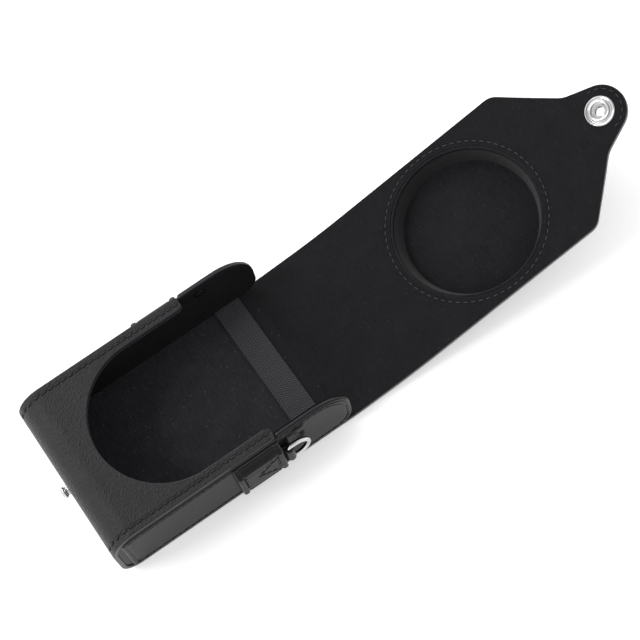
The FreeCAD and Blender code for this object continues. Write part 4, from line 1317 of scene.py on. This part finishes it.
class CASE_OT_sleeves(bpy.types.Operator):
    """Leather sleeve over each ring's tab: sloping borders, raised middle, rolled ridge at each end"""
    bl_idname = "camera_case.sleeves"
    bl_label = "Strap sleeves"

    def execute(self, context):
        low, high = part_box("right_strap_sleeve")
        ys = np.linspace(low.y, high.y, 84)
        zs = np.linspace(low.z, high.z, 90)
        sheet = grid_sheet(ys, zs)
        y, z = sheet[0].T
        raised = high.x - 0.5 * MM - GUSSET_OUT
        across = np.minimum(z - low.z, high.z - z)
        share = np.clip(across / (6.2 * MM), 0, 1)
        top = 1.15 * MM + (raised - 1.15 * MM) * share * share * (3 - 2 * share)
        top -= 0.35 * MM * edge_drop(across, 1.2 * MM) / (1.2 * MM)
        from_end = np.minimum(y - low.y, high.y - y)
        top += 0.5 * MM * np.sqrt(np.clip(1 - ((from_end - 1.15 * MM) / (1.25 * MM)) ** 2, 0, 1))
        top -= 0.22 * MM * bump(from_end - 2.75 * MM, 0.55 * MM)
        middle = (low.z + high.z) / 2
        apex = high.y - 3.0 * MM - 9.4 * MM
        for end in (middle - 6 * MM, middle + 6 * MM):
            crease = np.array([[apex, middle], [high.y - 3.4 * MM, end]])
            top -= 0.22 * MM * bump(distance_to(crease, sheet[0], closed=False), 0.55 * MM)
        top -= 0.1 * MM * np.clip((np.abs(z - middle) - 5 * MM) / (2 * MM), 0, 1) * (share > 0.99)
        for side, sign in SIDES:
            piece = slab(side + "_sleeve_skin", sheet, side_place(sign, GUSSET_OUT), top, -0.1 * MM,
                         GUSSET_FACES, radius=0.3 * MM)
            finished(piece, "smooth_leather", "case_body", side + "_strap_sleeve")
        return {"FINISHED"}


class CASE_OT_tabs(bpy.types.Operator):
    """Strap folded round each ring's bar"""
    bl_idname = "camera_case.tabs"
    bl_label = "Ring tabs"

    def execute(self, context):
        low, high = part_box("right_ring_tab")
        ring = [joint for joint in frame["joints"] if joint["child"] == "right_ring"][0]["pos_m"]
        bore, ply, lean, bend = 1.08 * MM, 0.9 * MM, math.radians(50), 1.4 * MM
        drop = 2 * bore - (bore + bend) * (1 - math.cos(lean))
        straight = drop / math.sin(lean)
        under = ring[1] - low.y - 4 * MM
        course = Course((low.y + 4 * MM, ring[0] - bore), 0.0,
                        [(under, 0.0), (bore * (math.pi + lean), math.pi + lean), (straight, 0.0),
                         (bend * lean, -lean), (5 * MM, 0.0)])
        length = course.along[-1]
        s = np.unique(np.concatenate([np.linspace(0, under, 8), np.linspace(under, length, 70)]))
        half = (high.z - low.z) / 2
        sheet = grid_sheet(s, np.linspace(-half, half, 19))
        for side, sign in SIDES:
            def place(points, heights, sign=sign):
                y, x = course.place(points[:, 0], heights)
                return np.stack([sign * x, y, ring[2] + points[:, 1]], 1)
            piece = slab(side + "_tab_strap", sheet, place, 0.0, -ply, GUSSET_FACES, radius=0.25 * MM)
            finished(piece, "smooth_leather", "case_body", side + "_ring_tab")
        return {"FINISHED"}


class CASE_OT_rings(bpy.types.Operator):
    """D-rings of bent wire"""
    bl_idname = "camera_case.rings"
    bl_label = "D-rings"

    def execute(self, context):
        low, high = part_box("right_d_ring")
        wire = 1.0 * MM
        half = (high.z - low.z) / 2 - wire
        bar = low.y + wire
        arm = high.y - wire - half - bar
        middle = (low.z + high.z) / 2
        centre_x = (low.x + high.x) / 2
        corner = rounded([(arm, -half), (0.0, -half, 1.3 * MM), (0.0, half, 1.3 * MM), (arm, half)],
                         closed=False, step=math.radians(8))
        angles = np.linspace(math.pi / 2, -math.pi / 2, 61)[1:-1]
        bow = np.stack([arm + half * np.cos(angles), half * np.sin(angles)], 1)
        line = evenly(np.concatenate([corner, bow]), 0.5 * MM)
        for side, sign in SIDES:
            path = np.stack([np.full(len(line), sign * centre_x), bar + line[:, 0], middle + line[:, 1]], 1)
            piece = tube(side + "_ring_wire", path, wire, "bright metal")
            finished(piece, "bright_metal", side + "_ring", side + "_d_ring")
        return {"FINISHED"}


class CASE_OT_band(bpy.types.Operator):
    """Woven elastic band across the pocket's floor"""
    bl_idname = "camera_case.band"
    bl_label = "Elastic band"

    def execute(self, context):
        low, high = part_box("elastic_band")
        sheet = grid_sheet(np.linspace(low.x, high.x, 200), np.linspace(low.y, high.y, 40))
        x, y = sheet[0].T
        thick = high.z - low.z
        edge = np.minimum(y - low.y, high.y - y)
        top = thick - 0.12 * MM * bump(edge - 1.0 * MM, 0.45 * MM)
        top -= 0.05 * MM * (1 + np.cos(x / (1.1 * MM)))

        def place(points, heights):
            return np.stack([points[:, 0], points[:, 1], low.z + heights], 1)
        piece = slab("elastic_band_weave", sheet, place, top, 0.02 * MM, ["woven elastic"], radius=0.25 * MM)
        finished(piece, "elastic", "case_body", "elastic_band")
        return {"FINISHED"}


class CASE_OT_seams(bpy.types.Operator):
    """Every row of stitches"""
    bl_idname = "camera_case.seams"
    bl_label = "Seams"

    def execute(self, context):
        sizes, _, course, start = settings()
        dark, pale = "dark thread", "pale thread"
        s = np.arange(start + 2.2 * MM, front_bend(sizes, start)[1], STITCH_PITCH)
        heading = np.interp(s, course.along, course.heading)
        y, z = course.place(s, -PANEL + 0.02 * MM)
        one_side = np.stack([np.full(len(s), HALF_WIDTH - sizes.seam_inset), y, z], 1)
        flat = np.zeros(len(s))
        along = np.stack([flat, np.cos(heading), np.sin(heading)], 1)
        outward = np.stack([flat, np.sin(heading), -np.cos(heading)], 1)
        stitches("front_seam", (np.concatenate([one_side, one_side * (-1, 1, 1)]), np.tile(along, (2, 1)),
                                np.tile(outward, (2, 1)), np.full(2 * len(s), FRONT_STITCH)),
                 dark, "case_body", ["front_seam_thread"], 0.36 * MM)
        stitches("cup_seam", node_stitches("cup_thread"), pale, "flap_front", ["cup_thread"], 0.22 * MM)
        stitches("tongue_seam", node_stitches("tongue_thread"), pale, "tongue", ["tongue_thread"],
                 0.18 * MM)
        at, ahead = marks_along(drawn_inwards(raised_outline(sizes), GUSSET_SEAM), STITCH_PITCH)
        sleeve_low, sleeve_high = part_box("right_strap_sleeve")
        clear = (at[:, 0] < sleeve_low.y - 1 * MM) | (at[:, 0] > sleeve_high.y + 1 * MM)
        at, ahead = at[clear], ahead[clear]
        flat = np.zeros(len(at))
        for side, sign in SIDES:
            middle = np.stack([flat + sign * (GUSSET_OUT - 0.26 * MM), at[:, 0], at[:, 1]], 1)
            along = np.stack([flat, ahead[:, 0], ahead[:, 1]], 1)
            outward = np.tile(np.array([sign, 0.0, 0.0]), (len(at), 1))
            stitches(side + "_gusset_seam", (middle, along, outward, flat + GUSSET_STITCH), dark, "case_body",
                     [side + "_gusset_thread"], 0.24 * MM)
            stitches(side + "_sleeve_seam", node_stitches(side + "_sleeve_thread", 0.9), dark, "case_body",
                     [side + "_sleeve_thread"], 0.24 * MM)
        return {"FINISHED"}


class CASE_OT_fittings(bpy.types.Operator):
    """Finishes of the hidden plate and the sprung wire"""
    bl_idname = "camera_case.fittings"
    bl_label = "Small fittings"

    def execute(self, context):
        wire = finish("spring wire")
        for node in ("stud_plate", "snap_spring"):
            mesh = frame["nodes"][node]
            for slot in mesh.material_slots:
                slot.material = wire
            if not mesh.material_slots:
                mesh.data.materials.append(wire)
        return {"FINISHED"}


class CASE_OT_stage(bpy.types.Operator):
    """White floor, soft studio light and the camera"""
    bl_idname = "camera_case.stage"
    bl_label = "Stage"

    def execute(self, context):
        scene = context.scene
        reach = np.linspace(-FLOOR_REACH, FLOOR_REACH, 3)
        x, y = np.meshgrid(reach, reach)
        points = np.stack([x.ravel(), y.ravel(), np.full(9, FLOOR_HEIGHT)], 1)
        mesh = bpy.data.meshes.new("floor")
        mesh.from_pydata(points.tolist(), [], grid_faces(3, 3).tolist())
        mesh.materials.append(finish("backdrop"))
        floor = bpy.data.objects.new("floor", mesh)
        scene.collection.objects.link(floor)

        world = bpy.data.worlds.new("Studio")
        scene.world = world
        world.use_nodes = True
        self.surroundings(world.node_tree)
        for name, place, aim, wide, power in LIGHTS:
            light = bpy.data.lights.new(name, "AREA")
            light.energy = power
            light.size = wide
            lamp = bpy.data.objects.new(name, light)
            lamp.location = place
            lamp.rotation_euler = (Vector(aim) - Vector(place)).to_track_quat("-Z", "Y").to_euler()
            scene.collection.objects.link(lamp)

        camera = bpy.data.cameras.new("Camera")
        camera.lens, camera.sensor_width, camera.clip_end = LENS, SENSOR, FAR
        viewer = bpy.data.objects.new("Camera", camera)
        turn = Matrix(CAMERA_AXES).transposed().to_4x4()
        turn.translation = Vector(CAMERA_PLACE)
        viewer.matrix_world = turn
        scene.collection.objects.link(viewer)
        scene.camera = viewer
        scene.view_settings.view_transform = "Standard"
        return {"FINISHED"}

    @staticmethod
    def surroundings(tree):
        """Pale walls round a dark ceiling, darker on one side: smooth steps of the sky's direction."""
        place = tree.nodes.new("ShaderNodeTexCoord").outputs["Generated"]
        split = tree.nodes.new("ShaderNodeSeparateXYZ")
        tree.links.new(place, split.inputs[0])
        both = tree.nodes.new("ShaderNodeMath")
        both.operation = "MULTIPLY"
        for number, (axis, *values) in enumerate(SKY):
            glow = tree.nodes.new("ShaderNodeMapRange")
            for socket, value in zip(("From Min", "From Max", "To Min", "To Max"), values):
                glow.inputs[socket].default_value = value
            tree.links.new(split.outputs[axis], glow.inputs["Value"])
            tree.links.new(glow.outputs["Result"], both.inputs[number])
        back = tree.nodes["Background"]
        back.inputs["Color"].default_value = (1.0, 1.0, 1.0, 1.0)
        tree.links.new(both.outputs[0], back.inputs["Strength"])


class CASE_PT_panel(bpy.types.Panel):
    """Lists the case's pieces and settings"""
    bl_label = "Camera Case"
    bl_idname = "CASE_PT_panel"
    bl_space_type = "VIEW_3D"
    bl_region_type = "UI"
    bl_category = "Camera Case"

    def draw(self, context):
        for group in ("case_wrap", "case_flap", "case_colours"):
            box = self.layout.box()
            for setting in getattr(context.scene, group).bl_rna.properties:
                if setting.identifier not in ("rna_type", "name"):
                    box.prop(getattr(context.scene, group), setting.identifier)
        for operator in OPERATORS:
            self.layout.operator(operator.bl_idname)


OPERATORS = (CASE_OT_wrap, CASE_OT_folds, CASE_OT_front, CASE_OT_cup, CASE_OT_tongue, CASE_OT_snap,
             CASE_OT_gussets, CASE_OT_rivets, CASE_OT_sleeves, CASE_OT_tabs, CASE_OT_rings, CASE_OT_band,
             CASE_OT_seams, CASE_OT_fittings, CASE_OT_stage)
CLASSES = (WrapSizes, FlapSizes, FinishColours) + OPERATORS + (CASE_PT_panel,)


def register():
    for one in CLASSES:
        bpy.utils.register_class(one)
    bpy.types.Scene.case_wrap = bpy.props.PointerProperty(type=WrapSizes)
    bpy.types.Scene.case_flap = bpy.props.PointerProperty(type=FlapSizes)
    bpy.types.Scene.case_colours = bpy.props.PointerProperty(type=FinishColours)


def unregister():
    del bpy.types.Scene.case_colours
    del bpy.types.Scene.case_flap
    del bpy.types.Scene.case_wrap
    for one in reversed(CLASSES):
        bpy.utils.unregister_class(one)


def main():
    register()
    for operator in OPERATORS:
        group, name = operator.bl_idname.split(".")
        getattr(getattr(bpy.ops, group), name)()


if __name__ == "__main__":
    main()
